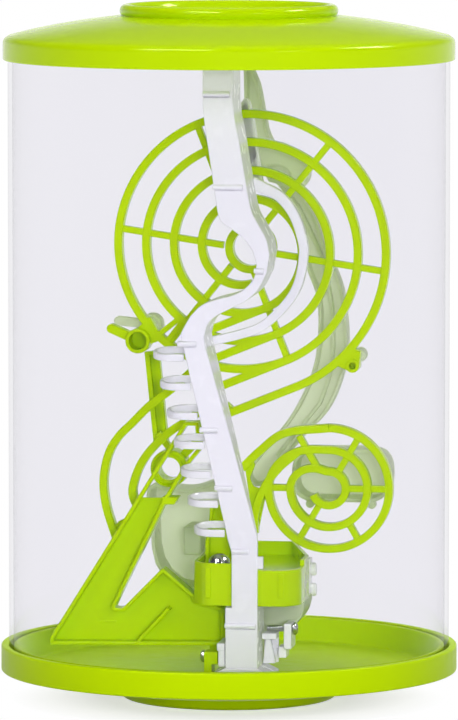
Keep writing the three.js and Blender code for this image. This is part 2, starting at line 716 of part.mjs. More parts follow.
// ---- brackets and screws at the foot ----
function gusset() {
  const outline = points2([[16.2, 16], [21.6, 16], [21.6, 25.6], [16.2, 25.6]]);
  return joined([upright(shapeOf(outline), -24, -22.4), box(16.2, 21.6, -30, -22.4, 25.2, 27.4)]);
}

function screwBracket() {
  const plate = box(24.2, 27, -30, -18, 21.6, 31);
  const step = box(21.9, 25, -28, -20, 18.2, 22.4);
  return cutBy(joined([plate, step]), [rodAlongX(1.4, 20, 30, -26, 28.8)]);
}

function screwAlongX(head, tip, y, z) {
  const shank = rodAlongX(1.05, Math.min(head, tip), Math.max(head, tip), y, z);
  const cap = rodAlongX(2.3, head - 0.8, head + 0.8, y, z);
  return joined([shank, cap]);
}

const leftBlock = () => box(0.8, 3.6, SPINE_FRONT + 0.4, FOOT_BACK - 1, RUN_FOOT_Z + 4.5, 24.4);

function limeLug() {
  return joined([box(-4.6, -1.7, -33, -25, RUN_FOOT_Z, 20.6), box(-1.8, 0.4, -33, -25, 16, 20.6)]);
}

function screwUp(x, y) {
  return joined([rodUpright(1.5, 3.1, 8.2, x, y, 12), rodUpright(2.8, 2.2, 3.8, x, y, 16)]);
}

// ---- scene graph ----
const part = new THREE.Group();
const run = new THREE.Group();
run.rotation.z = RUN_TURN;
part.add(run);

function place(group, name, body, look) {
  const mesh = new THREE.Mesh(geometryOf(body), new THREE.MeshStandardMaterial(look));
  mesh.name = name;
  group.add(mesh);
  return mesh;
}

place(part, "base_cover", baseCover(), LIME);
place(part, "base_dish", baseDish(), LIME);
place(part, "top_cap", topCap(), LIME);
place(part, "top_plate", topPlate(), LIME);
place(part, "top_cover_disc", coverDisc(9, 251.1, 252.4), LIME);
const tube = place(part, "clear_tube", clearTube(), CLEAR);
tube.material.transparent = true;
tube.material.opacity = 0.25;

place(run, "spine", spine(), WHITE);
place(run, "guide_rail", guideRail(), WHITE);
for (let level = 0; level < HOOP_COUNT; level += 1) place(run, "hoop_" + (level + 1), hoop(level), WHITE);
place(run, "big_spiral", bigWheel(), LIME);
place(run, "small_spiral", smallWheel(), LIME);
place(run, "lower_spiral", lowerWheel(), LIME);
place(run, "strut", strut(), LIME);
place(run, "ramp_tray", rampTray(), LIME);
place(run, "start_cup", startCup(), LIME);
place(run, "drop_chute", dropChute(), LIME);
place(run, "back_ribbon", backRibbon(), WHITE);
place(run, "arch_frame", archFrame(), WHITE);
place(run, "arch_plate", archPlate(), LIME);
place(run, "catch_tray", catchTray(), WHITE);
place(run, "rear_boss", rearBoss(), WHITE);
place(run, "rear_knob", rearKnob(), WHITE);
place(run, "trough", trough(), WHITE);
place(run, "bowl_left", bowlLeft(), WHITE);
place(run, "bowl_right", bowlRight(), WHITE);
place(run, "knob_plate", knobPlate(), WHITE);
place(run, "gusset", gusset(), WHITE);
place(run, "screw_bracket", screwBracket(), WHITE);
place(run, "left_block", leftBlock(), WHITE);
place(run, "lime_lug", limeLug(), LIME);
place(run, "bracket_screw", screwAlongX(28.2, 17.6, -26, 28.8), STEEL);
place(run, "lug_screw", screwAlongX(-5.7, -4.9, -29, 18.6), STEEL);

BASE_SCREWS.forEach(([x, y], i) => place(part, "base_screw_" + (i + 1), screwUp(x, y), STEEL));

const ball = new THREE.Mesh(new THREE.SphereGeometry(BALL_RADIUS, 18, 12),
    new THREE.MeshStandardMaterial(STEEL));
ball.name = "steel_ball";
ball.position.copy(BALL_PLACE);
run.add(ball);

export default part;
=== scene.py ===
"""Clear-cylinder ball maze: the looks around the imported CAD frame.

Metres, +Z up, front to -Y. The ball run's pieces are drawn in millimetres in the run's own
axes and turned with it about Z. Each one stands for the CAD node it is named after.
"""
import math

import bmesh
import bpy
from mathutils import Matrix, Vector
from mathutils.geometry import tessellate_polygon


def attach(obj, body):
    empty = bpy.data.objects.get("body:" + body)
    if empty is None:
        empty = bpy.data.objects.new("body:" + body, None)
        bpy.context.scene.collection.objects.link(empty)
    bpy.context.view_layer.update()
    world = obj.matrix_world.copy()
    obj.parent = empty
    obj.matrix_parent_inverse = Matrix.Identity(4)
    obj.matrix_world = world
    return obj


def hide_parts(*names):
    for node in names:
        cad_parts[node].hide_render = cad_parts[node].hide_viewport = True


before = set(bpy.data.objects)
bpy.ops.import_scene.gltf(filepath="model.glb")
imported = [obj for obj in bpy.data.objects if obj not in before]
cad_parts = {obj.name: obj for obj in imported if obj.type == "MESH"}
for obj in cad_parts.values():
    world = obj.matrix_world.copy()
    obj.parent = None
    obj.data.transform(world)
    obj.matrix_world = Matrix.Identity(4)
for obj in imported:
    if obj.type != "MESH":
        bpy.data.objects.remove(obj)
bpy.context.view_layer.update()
MM = 0.001
STILL = Matrix.Identity(4)
RUN = Matrix.Rotation(math.radians(-8), 4, "Z")  # the ball run's turn inside the tube
FINE = 256  # segments round a cap or the tube

# ---- driving dimensions, the CAD's own, in millimetres ----
TOTAL_HEIGHT = 254.2
LID_RADIUS = 82.5
LID_SKIRT_Z = 234
LID_RIM_TOP_Z = 241
BASE_RADIUS = 83.6
BASE_RIM_LOW_Z = 10.3
BASE_RIM_TOP_Z = 19.8
RING_RADIUS = 40.5
RING_BEAD = 2.3  # radius of the carrying ring's rounded top
TUBE_OUTER = 80.7
TUBE_WALL = 1.6
TUBE_LOW_Z = 14
TUBE_TOP_Z = 239
FLOOR_Z = 11
RUN_FOOT_Z = 11.3
GAP = 0.3
SNUG = 0.06  # between the tube and its groove
THREAD_PITCH = 0.8

SPINE_FRONT = -38
SPINE_BACK = -17
FOOT_BACK = -20
FOOT_TOP_Z = 37.5
SPINE_THIN_BACK = -35.8
SPINE_TAPER_LOW_Z = 60
SPINE_WALL = 1.6
RIDGE_RADIUS = 0.95
SPINE_TOP_Z = 236.9
SLANT_TOP_Z = 131.3
SLANT_RUN = 16.4
SLANT_LOW = (5.1, 61.4)

WHEEL_CENTRE = Vector((6.1, 165))
WHEEL_PITCH = 10.3
WHEEL_EYE = 5.5
WHEEL_FRONT = -3
WHEEL_BACK = 2.3
WHEEL_START = 0.72  # the big spiral's first and last place, in turns
WHEEL_END = 4.69
RAIL_WIDTH = 3
SPOKE_WIDTH = 2.4
SPOKE_FRONT = WHEEL_FRONT + 0.6
SPOKE_BACK = WHEEL_BACK - 0.6
BOSS = (-33, 131)
WING_END = (-43.2, 135.2)
LUG = (45.9, 122.7)
REAR_KNOB = (47, 125.6)
LUG_WEB = ((40.3, 122.4), (45, 120.5), (48.3, 122.4), (48.9, 128), (46, 129), (41, 124.6))

SMALL_CENTRE = Vector((37.1, 77.4))
SMALL_PITCH = 8
SMALL_EYE = 6.2
LOWER_HUB = (-22.3, 83.6)
LOWER_FRONT = 3
LOWER_BACK = 8
STRUT_BACK = 13

HOOP_COUNT = 7
HOOP_TOP_Z = 128.7
HOOP_STEP_Z = 10.6
HOOP_REACH = 12
HOOP_RADIUS = 7
HOOP_HEIGHT = 2.7
HOOP_WALL = 1.4
HOOP_MIDDLE_Y = -29
HOOP_TILT = 8  # degrees, back edge up

TRAY_FRONT = -20
TRAY_BACK = -12
TRAY_WALL = 1.4
CUP_LOW_Z = 37.8
CUP_FLOOR_Z = 48.2
CUP_RIM_Z = 53.3
CUP_WALL = 1.5
BALL_RADIUS = 4
BALL_PLACE = (0.5, HOOP_MIDDLE_Y, CUP_FLOOR_Z + BALL_RADIUS + 0.05)
BASE_SCREWS = ((0, 24), (-20.8, -12), (20.8, -12))
BASE_SCREW_Z = 3.8

ARCH_FRONT = 5
ARCH_BACK = 9
REAR_BOSS = (-30.9, 135.3)
REAR_BOSS_FRONT = 12
REAR_BOSS_BACK = 20
CATCH_FRONT = 16
CATCH_BACK = 23.6
TROUGH_FRONT = 14
BOWL_FRONT = 12
REAR_CUPS_BACK = 30  # the trough's back and the left bowl's
RIBBON_FRONT = 26
RIBBON_BACK = 34.4
BOWL_RIGHT_FRONT = -14
BOWL_RIGHT_BACK = 7.6
BRACKET_SCREW = (27.4, -26, 28.8)
LUG_SCREW = (-4.9, -29, 18.6)

# ---- studio, in metres and degrees ----
FLOOR_REACH = 30
AIM = Vector((0, 0, 0.12))
BASE_AIM = Vector((0, 0, 0.02))
CARD_DISTANCE = 1.5
CARD_HEIGHT = 1.6
CARD_DEPTH = 0.45
CARD_WATTS = 130  # for each square metre of card
LOW_PLACE = Vector((0.2, -2.3, 0.28))
LOW_WATTS = 215
LOW_CONE = 8.5
CAMERA_PLACE = (0, -2.466, 0.351)
CAMERA_PITCH = 84.74
CAMERA_LENS = 338.25


# ---- materials ----
class Tree:
    """A material's node tree, with short calls for the nodes used below."""

    def __init__(self, name):
        self.material = bpy.data.materials.new(name)
        self.material.use_nodes = True
        self.nodes = self.material.node_tree.nodes
        self.links = self.material.node_tree.links
        self.nodes.clear()
        self.output = self.nodes.new("ShaderNodeOutputMaterial")
        self.place = self.nodes.new("ShaderNodeTexCoord").outputs["Object"]

    def put(self, socket, value):
        if isinstance(value, bpy.types.NodeSocket):
            self.links.new(value, socket)
        else:
            socket.default_value = value

    def noise(self, scale, detail=2.0, stretch=None):
        place = self.place
        if stretch:
            mapping = self.nodes.new("ShaderNodeMapping")
            self.put(mapping.inputs["Vector"], place)
            mapping.inputs["Scale"].default_value = stretch
            place = mapping.outputs["Vector"]
        node = self.nodes.new("ShaderNodeTexNoise")
        self.put(node.inputs["Vector"], place)
        node.inputs["Scale"].default_value = scale
        node.inputs["Detail"].default_value = detail
        return node.outputs["Fac"]

    def spread(self, value, low, high, start=0.3, end=0.7):
        """A pattern mapped so that start..end gives low..high."""
        node = self.nodes.new("ShaderNodeMapRange")
        self.put(node.inputs["Value"], value)
        self.put(node.inputs["From Min"], start)
        self.put(node.inputs["From Max"], end)
        self.put(node.inputs["To Min"], low)
        self.put(node.inputs["To Max"], high)
        return node.outputs["Result"]

    def blend(self, factor, one, other):
        node = self.nodes.new("ShaderNodeMix")
        node.data_type = "RGBA"
        self.put(node.inputs[0], factor)
        self.put(node.inputs[6], one)
        self.put(node.inputs[7], other)
        return node.outputs[2]

    def maths(self, operation, one, other):
        node = self.nodes.new("ShaderNodeMath")
        node.operation = operation
        self.put(node.inputs[0], one)
        self.put(node.inputs[1], other)
        return node.outputs[0]

    def bump(self, height, strength, depth, normal=None):
        node = self.nodes.new("ShaderNodeBump")
        self.put(node.inputs["Height"], height)
        node.inputs["Strength"].default_value = strength
        node.inputs["Distance"].default_value = depth
        if normal:
            self.put(node.inputs["Normal"], normal)
        return node.outputs["Normal"]

    def mixed(self, factor, one, other):
        node = self.nodes.new("ShaderNodeMixShader")
        self.put(node.inputs[0], factor)
        self.links.new(one, node.inputs[1])
        self.links.new(other, node.inputs[2])
        return node.outputs[0]

    def finish(self, shader):
        self.links.new(shader, self.output.inputs["Surface"])
        return self.material


def plastic(name, colour, deep, rough, specular, tint=(1, 1, 1, 1), through=0.0):
    """Moulded plastic: slow drifts of tone, faint flow lines, an uneven polish and a fine skin.

    through is the share of light that soaks through from behind.
    """
    tree = Tree(name)
    drift = tree.spread(tree.noise(16, 3), 0.0, 0.5)
    flow = tree.spread(tree.noise(40, 4, (1, 1, 0.15)), 0.0, 0.12)
    base = tree.blend(flow, tree.blend(drift, colour, deep), deep)
    skin = tree.bump(tree.noise(1400, 2), 0.02, 0.0001)
    ripple = tree.bump(tree.noise(45, 2), 0.015, 0.0006, skin)
    shader = tree.nodes.new("ShaderNodeBsdfPrincipled")
    tree.put(shader.inputs["Base Color"], base)
    tree.put(shader.inputs["Roughness"], tree.spread(tree.noise(220, 4), rough - 0.04, rough + 0.06))
    tree.put(shader.inputs["Normal"], ripple)
    shader.inputs["Specular IOR Level"].default_value = specular
    shader.inputs["Specular Tint"].default_value = tint
    if not through:
        return tree.finish(shader.outputs[0])
    soaked = tree.nodes.new("ShaderNodeBsdfTranslucent")
    tree.put(soaked.inputs["Color"], base)
    tree.put(soaked.inputs["Normal"], ripple)
    return tree.finish(tree.mixed(through, shader.outputs[0], soaked.outputs[0]))


def metal(name, colour, dark, rough, scratch):
    """Steel: fine drawn scratches and a little staining."""
    tree = Tree(name)
    stain = tree.spread(tree.noise(300, 4), 0.0, 0.6)
    lines = tree.noise(900, 3, (1, 1, 12))
    shader = tree.nodes.new("ShaderNodeBsdfPrincipled")
    tree.put(shader.inputs["Base Color"], tree.blend(stain, colour, dark))
    tree.put(shader.inputs["Roughness"], tree.spread(lines, rough - 0.05, rough + 0.12))
    tree.put(shader.inputs["Normal"], tree.bump(lines, scratch, 0.00005))
    shader.inputs["Metallic"].default_value = 1.0
    return tree.finish(shader.outputs[0])


def clear_wall():
    """Thin clear plastic: tinted see-through, mirroring more the more it turns away."""
    tree = Tree("clear_wall")
    weight = tree.nodes.new("ShaderNodeLayerWeight")
    weight.inputs["Blend"].default_value = 0.5
    edge = tree.maths("POWER", weight.outputs["Facing"], 6.0)
    smear = tree.noise(9, 4, (1, 1, 0.12))
    gloss = tree.maths("ADD", tree.maths("MULTIPLY", edge, 0.5), tree.spread(smear, 0.002, 0.008))
    tint = tree.blend(tree.spread(smear, 0.0, 1.0), (0.963, 0.961, 0.972, 1), (0.95, 0.947, 0.964, 1))
    through = tree.nodes.new("ShaderNodeBsdfTransparent")
    tree.put(through.inputs["Color"], tint)
    mirror = tree.nodes.new("ShaderNodeBsdfGlossy")
    tree.put(mirror.inputs["Roughness"], tree.spread(tree.noise(30, 3), 0.04, 0.08))
    tree.put(mirror.inputs["Normal"], tree.bump(tree.noise(7, 3), 0.05, 0.002))
    return tree.finish(tree.mixed(gloss, through.outputs[0], mirror.outputs[0]))


# ---- colours, each with its deeper tone ----
LIME_TONES = ((0.52, 0.745, 0.0, 1), (0.44, 0.66, 0.0, 1))
LIME_GLINT = (0.85, 1, 0.3, 1)  # keeps the lime's highlights lime
WHITE_TONES = ((0.88, 0.87, 0.925, 1), (0.85, 0.84, 0.91, 1))
# Milky white plastic tinted green: the green is painted bounce light from the lime parts around it.
MILKY_WITH_PAINTED_BOUNCE_TONES = ((0.84, 0.88, 0.74, 1), (0.78, 0.83, 0.66, 1))
STEEL_TONES = ((0.56, 0.57, 0.58, 1), (0.38, 0.39, 0.40, 1))
BALL_TONES = ((0.5, 0.5, 0.52, 1), (0.38, 0.38, 0.4, 1))

# ---- each look is a material and the record's slot for it ----
LIME = (plastic("lime_plastic", *LIME_TONES, 0.13, 0.17, LIME_GLINT), "lime_plastic")
LIME_SATIN = (plastic("lime_satin", *LIME_TONES, 0.36, 0.07, LIME_GLINT), "lime_plastic")
WHITE = (plastic("white_plastic", *WHITE_TONES, 0.24, 0.3), "white_plastic")
# Milky plastic; its green tint is painted bounce light.
MILKY = (plastic("milky_plastic", *MILKY_WITH_PAINTED_BOUNCE_TONES, 0.3, 0.25, through=0.5), "milky_plastic")
STEEL = (metal("drawn_steel", *STEEL_TONES, 0.25, 0.2), "steel")
BALL_STEEL = (metal("polished_steel", *BALL_TONES, 0.12, 0.05), "bright_steel")
CLEAR = (clear_wall(), "clear_plastic")


# ---- outlines, in millimetres ----
def spline(pairs, steps):
    """Points along a Catmull-Rom curve through the given pairs."""
    knots = [Vector(pair) for pair in pairs]
    knots = [2 * knots[0] - knots[1]] + knots + [2 * knots[-1] - knots[-2]]
    spans = len(pairs) - 1
    line = []
    for i in range(steps + 1):
        place = min(i / steps * spans, spans - 1e-9)
        k = int(place)
        t = place - k
        a, b, c, d = knots[k:k + 4]
        line.append(0.5 * (2 * b + (c - a) * t + (2 * a - 5 * b + 4 * c - d) * t * t
                           + (3 * b - a - 3 * c + d) * t * t * t))
    return line


def polar(centre, radius, angle):
    return Vector((centre[0] + radius * math.cos(angle), centre[1] + radius * math.sin(angle)))


def circle(centre, radius, count=48):
    return [polar(centre, radius, 2 * math.pi * i / count) for i in range(count)]


def strip(line, width):
    """The closed outline, anticlockwise, of a rail of constant width along an open line."""
    line = [Vector(point) for point in line]
    left, right = [], []
    for i, point in enumerate(line):
        along = (line[min(i + 1, len(line) - 1)] - line[max(i - 1, 0)]).normalized()
        side = Vector((-along.y, along.x)) * (width / 2)
        left.append(point + side)
        right.append(point - side)
    return right + left[::-1]


def drawn_in(outline, depth):
    """A closed outline drawn in by depth; its points run anticlockwise."""
    moved = []
    for i, point in enumerate(outline):
        before = (point - outline[i - 1]).normalized()
        after = (outline[(i + 1) % len(outline)] - point).normalized()
        normal = Vector((-before.y - after.y, before.x + after.x)).normalized()
        spread = max(0.5, math.sqrt(max(0.0, (1 + before.dot(after)) / 2)))
        moved.append(point + normal * (depth / spread))
    return moved


def bend(start, control, stop, steps=16):
    """Points along a quadratic curve."""
    start, control, stop = Vector(start), Vector(control), Vector(stop)
    line = []
    for k in range(steps + 1):
        t = k / steps
        line.append(start * (1 - t) ** 2 + control * 2 * t * (1 - t) + stop * t * t)
    return line


def eased(outline, radius, steps=4, closed=True):
    """The outline with its corners rounded off."""
    count = len(outline)
    line = []
    for i, corner in enumerate(outline):
        here = Vector(corner)
        if not closed and i in (0, count - 1):
            line.append(here)
            continue
        before = Vector(outline[i - 1]) - here
        after = Vector(outline[(i + 1) % count]) - here
        if before.angle(after) > math.radians(158):
            line.append(here)
            continue
        cut = min(radius, before.length * 0.45, after.length * 0.45)
        start = here + before.normalized() * cut
        stop = here + after.normalized() * cut
        line += bend(start, here, stop, steps)
    return line


# ---- solids ----
AXES = {
    "x": lambda point, depth: (depth, point.x, point.y),
    "y": lambda point, depth: (point.x, depth, point.y),
    "z": lambda point, depth: (point.x, point.y, depth),
}


def mesh_from(verts, faces, turn=RUN):
    mesh = bpy.data.meshes.new("form")
    mesh.from_pydata([turn @ (Vector(vert) * MM) for vert in verts], [], faces)
    form = bmesh.new()
    form.from_mesh(mesh)
    bmesh.ops.remove_doubles(form, verts=form.verts, dist=1e-7)
    bmesh.ops.recalc_face_normals(form, faces=form.faces)
    form.to_mesh(mesh)
    form.free()
    return mesh


def lofted(outline, levels, axis="y", turn=RUN):
    """A closed solid through the outline, drawn in by each level's inset at its depth."""
    verts, faces = [], []
    count = len(outline)
    for inset, depth in levels:
        loop = drawn_in(outline, inset) if inset else outline
        verts += [AXES[axis](point, depth(point) if callable(depth) else depth) for point in loop]
    for row in range(len(levels) - 1):
        for i in range(count):
            k = (i + 1) % count
            low = row * count
            faces.append((low + i, low + k, low + count + k, low + count + i))
    for row in (0, len(levels) - 1):
        inset = levels[row][0]
        loop = drawn_in(outline, inset) if inset else outline
        flat = [[Vector((point.x, point.y, 0)) for point in loop]]
        faces += [tuple(row * count + i for i in corner) for corner in tessellate_polygon(flat)]
    return mesh_from(verts, faces, turn)


def quarter(inset, depth, radius, way, rising, steps=3):
    """The levels of a rounded edge. way is +1 where depth grows into the solid."""
    levels = []
    for k in range(steps + 1):
        angle = math.pi / 2 * (k if rising else steps - k) / steps
        across = inset + radius * (1 - math.sin(angle))
        levels.append((across, depth + way * radius * (1 - math.cos(angle))))
    return levels


def slab(outline, front, back, edge=0.4, axis="y", turn=RUN):
    """A plate with rounded edges."""
    levels = quarter(0, front, edge, 1, True) + quarter(0, back, edge, -1, False)
    return lofted(outline, levels, axis, turn)


def bin_of(outline, open_at, shut_at, wall, floor, edge=0.4, axis="y"):
    """A dish with a wall all round, open at one end, its rims and outer edges rounded."""
    way = 1 if shut_at > open_at else -1
    edge = min(edge, wall * 0.45)
    levels = [(wall, shut_at - way * floor)]
    for k in range(4):
        angle = math.pi / 6 * k
        across = wall - edge * (1 - math.cos(angle))
        levels.append((across, open_at + way * edge * (1 - math.sin(angle))))
    levels += quarter(0, open_at, edge, way, True)
    levels += quarter(0, shut_at, edge, -way, False)
    return lofted(outline, levels, axis)


def rod(radius, low, high, x, z, count=40, edge=0.3):
    return slab(circle((x, z), radius, count), low, high, edge)


def block(x0, x1, y0, y1, z0, z1, edge=0.35):
    corners = [(x0, z0), (x1, z0), (x1, z1), (x0, z1)]
    return slab(eased(corners, edge, 3), y0, y1, edge)


def turned(profile, segments=FINE, turn=STILL, shift=(0, 0, 0)):
    """A closed solid turned from a [radius, z] profile."""
    verts, rings, faces = [], [], []
    for radius, height in profile:
        count = 1 if radius < 1e-6 else segments
        rings.append([len(verts) + i for i in range(count)])
        for i in range(count):
            angle = 2 * math.pi * i / segments
            point = Vector((radius * math.cos(angle), radius * math.sin(angle), height))
            verts.append(point + Vector(shift))
    loop = rings[1:] + rings[:1] if len(rings[0]) > 1 else rings[1:]
    for one, other in zip(rings, loop):
        for i in range(segments):
            k = i + 1
            corners = [one[i % len(one)], one[k % len(one)]]
            corners += [other[k % len(other)], other[i % len(other)]]
            faces.append(tuple(dict.fromkeys(corners)))
    return mesh_from(verts, faces, turn)


def combined(operation, mesh, others):
    """The union or difference of closed meshes."""
    scene = bpy.context.scene.collection
    base = bpy.data.objects.new("base", mesh)
    scene.objects.link(base)
    made = [base]
    for other in others:
        tool = bpy.data.objects.new("tool", other)
        scene.objects.link(tool)
        step = base.modifiers.new("step", "BOOLEAN")
        step.operation = operation
        step.solver = "MANIFOLD"
        step.object = tool
        made.append(tool)
    bpy.context.view_layer.update()
    seen = base.evaluated_get(bpy.context.evaluated_depsgraph_get())
    result = bpy.data.meshes.new_from_object(seen)
    for item in made:
        bpy.data.objects.remove(item)
    return result


def joined(meshes):
    return combined("UNION", meshes[0], meshes[1:]) if len(meshes) > 1 else meshes[0]


def cut(mesh, tools):
    return combined("DIFFERENCE", mesh, tools)


def show(node, mesh, look, body="game", crisp=38):
    """Shows a mesh in place of its CAD node."""
    material, slot = look
    piece = bpy.data.objects.new(node + "_finish", mesh)
    bpy.context.scene.collection.objects.link(piece)
    mesh.materials.clear()
    mesh.materials.append(material)
    mesh.shade_smooth()
    mesh.set_sharp_from_angle(angle=math.radians(crisp))
    even = piece.modifiers.new("even", "WEIGHTED_NORMAL")
    even.keep_sharp = True
    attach(piece, body)
    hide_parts(node)
    return piece


# ---- caps and tube ----
def base_cover():
    """The domed underside with its foot ring."""
    profile = [(0, 4.2), (34, 4.2), (35.5, 0.6), (36.3, 0), (38.2, 0), (39.4, 0.7), (RING_RADIUS, 4.1),
               (53.2, 5.6), (64, 7.2), (74, 8.9), (81.6, BASE_RIM_LOW_Z - 0.3),
               (81.9, BASE_RIM_LOW_Z + 0.4), (73, 9.7), (60, 8.2), (40, 6.6), (0, 6.6)]
    shell = turned([tuple(p) for p in eased(profile, 0.8, 4, closed=False)])
    wells = [turned([(0, 3), (2.6, 3), (2.6, 5), (1.9, 5.2), (1.9, 8), (0, 8)], 40, STILL, (x, y, 0))
             for x, y in BASE_SCREWS]
    return cut(shell, wells)


def base_dish():
    """The rim, the tube's groove and the dish inside it."""
    outer = TUBE_OUTER + SNUG
    inner = TUBE_OUTER - TUBE_WALL - SNUG
    groove_z = TUBE_LOW_Z - GAP
    lip_z = BASE_RIM_TOP_Z - 0.2
    profile = [(0, 9), (60, 9), (72, BASE_RIM_LOW_Z + 0.2), (82, BASE_RIM_LOW_Z + 0.8),
               (82.2, BASE_RIM_LOW_Z), (BASE_RADIUS, BASE_RIM_LOW_Z), (BASE_RADIUS, BASE_RIM_TOP_Z),
               (outer, BASE_RIM_TOP_Z), (outer, groove_z), (inner, groove_z), (inner, lip_z),
               (77.2, lip_z), (72.1, FLOOR_Z + 0.6), (68, FLOOR_Z), (0, FLOOR_Z)]
    return turned([tuple(p) for p in eased(profile, 0.9, 5, closed=False)])


def top_cap():
    """The domed lid with its raised carrying ring."""
    inner = TUBE_OUTER + GAP
    profile = [(0, 248), (40, 247), (60, 244.6), (74, 242), (inner, TUBE_TOP_Z + GAP)]
    profile += [(inner, LID_SKIRT_Z), (LID_RADIUS, LID_SKIRT_Z), (LID_RADIUS, LID_RIM_TOP_Z + 0.4)]
    profile += [(80.4, 242.9), (73.2, 244.7), (64, 246.6), (53.2, 248.4), (39.3, 250.2)]
    bead = Vector((37.6, TOTAL_HEIGHT - RING_BEAD))
    profile += [tuple(polar(bead, RING_BEAD, math.radians(angle))) for angle in range(-36, 150, 12)]
    profile += [(34.9, 251.9), (33.4, 250.9), (0, 250.8)]
    return turned([tuple(p) for p in eased(profile, 1.3, 6, closed=False)])


def top_plate():
    """The lid's inner plate, which shows from below through the tube."""
    profile = [(0, 237.2), (72, 237.2), (78.6, 234.6), (78.7, 238.6), (72.5, 239.8), (0, 239.8)]
    return turned([tuple(p) for p in eased(profile, 0.8, 4, closed=False)])


def clear_tube():
    inner = TUBE_OUTER - TUBE_WALL
    profile = [(inner, TUBE_LOW_Z), (TUBE_OUTER, TUBE_LOW_Z), (TUBE_OUTER, TUBE_TOP_Z)]
    return turned(profile + [(inner, TUBE_TOP_Z)])


def top_cover_disc():
    """A plain button in the middle of the lid, with a shallow ring and six grip dots."""
    disc = turned([(0, 251.1), (8.6, 251.1), (9, 251.5), (9, 252), (8.4, 252.4), (7, 252.4),
                   (6.6, 252.1), (5.8, 252.1), (5.4, 252.4), (0, 252.4)], 96)
    dots = []
    for k in range(6):
        centre = polar((0, 0), 3.4, math.radians(60 * k))
        dot = [(0, 251.8), (0.7, 251.8), (0.7, 253), (0, 253)]
        dots.append(turned(dot, 24, STILL, (centre.x, centre.y, 0)))
    return cut(disc, dots)


def screw(radius, height, shank, length, turn):
    """A cross-recess screw along its own z: its domed head on z 0..height, its shank below."""
    profile = [(0, height)]
    for k in range(1, 7):
        angle = math.pi / 12 * k
        profile.append((radius * math.sin(angle), height * (0.35 + 0.65 * math.cos(angle))))
    profile.append((radius, 0))
    if length > 1:
        profile.append((shank, 0))
        for k in range(int((length - 0.9) / THREAD_PITCH)):
            low = -0.3 - k * THREAD_PITCH
            crest = low - THREAD_PITCH * 0.3
            profile += [(shank, low), (shank * 1.16, crest), (shank, low - THREAD_PITCH * 0.6)]
        profile += [(shank, 0.3 - length), (shank * 0.7, -length)]
    profile.append((0, profile[-1][1]))
    long, thin = radius * 0.62, radius * 0.13
    slots = []
    for across, up in ((long, thin), (thin, long)):
        pairs = ((-across, -up), (across, -up), (across, up), (-across, up))
        corners = [Vector(pair) for pair in pairs]
        slots.append(slab(corners, height * 0.35, height + 1, 0.05, "z", turn))
    return cut(turned(profile, 40, turn), slots)


# ---- spine ----
def spine_outline():
    """The spine from the front: down its left edge, then up its right."""
    left = [Vector((-4.3, SPINE_TOP_Z)), Vector((-4.3, 219))]
    left += spline([(-3.4, 211), (-1.1, 195.7), (1.1, 181), (2.8, 177), (6.8, 174.3),
                    (10.8, 171.1), (13.8, 167)], 36)
    left += spline([(15.3, 162), (14.2, 157), (10.6, 153), (6.1, 150.7), (0, 149.1),
                    (-5.1, 146.9), (-8.7, 143.3)], 36)
    left += spline([(-10.9, 139.6), (-12.2, 136.4), (SLANT_LOW[0] - SLANT_RUN, SLANT_TOP_Z)], 8)
    left += [Vector(SLANT_LOW), Vector((6.2, 57.5)), Vector((6.2, FOOT_TOP_Z - 0.9))]
    corners = ((15.6, FOOT_TOP_Z - 0.9), (15.6, 60.6), (15.4, 64), (6, 99), (-3.4, 132.6))
    right = [Vector(corner) for corner in corners]
    right += spline([(-3.9, 135.6), (-2.4, 140.4), (0.9, 143.5), (5.8, 146), (11.3, 148.9),
                     (15.7, 152.9), (18.9, 159)], 36)
    right += spline([(20, 165.6), (18.9, 171), (16, 176.4), (13.6, 181), (12, 188.2),
                     (8.8, 207), (7.2, 215)], 36)
    right += [Vector((6.6, 221)), Vector((6.6, SPINE_TOP_Z))]
    return left + right


def spine_left_at(z):
    """Left edge of the long slant at height z, where the hoops hang."""
    return SLANT_LOW[0] - SLANT_RUN * (z - SLANT_LOW[1]) / (SLANT_TOP_Z - SLANT_LOW[1])


def ridge(x0, x1, z):
    """A half-round bar across the spine's front."""
    radius = RIDGE_RADIUS
    root = SPINE_FRONT + 0.9
    line = [polar((SPINE_FRONT, z), radius, math.radians(90 + 12 * k)) for k in range(16)]
    line += [Vector((root, z - radius)), Vector((root, z + radius))]
    ends = [(0.3, x0), (0.06, x0 + 0.12), (0, x0 + 0.35), (0, x1 - 0.35), (0.06, x1 - 0.12), (0.3, x1)]
    return lofted(line, ends, "x")


def shade_line(x0, x1, z):
    """The narrow groove under a ridge."""
    floor_y = SPINE_FRONT + 1.35
    return block(x0 + 0.2, x1 - 0.2, SPINE_FRONT - 1, floor_y, z - 1.4, z - 0.85, 0.05)


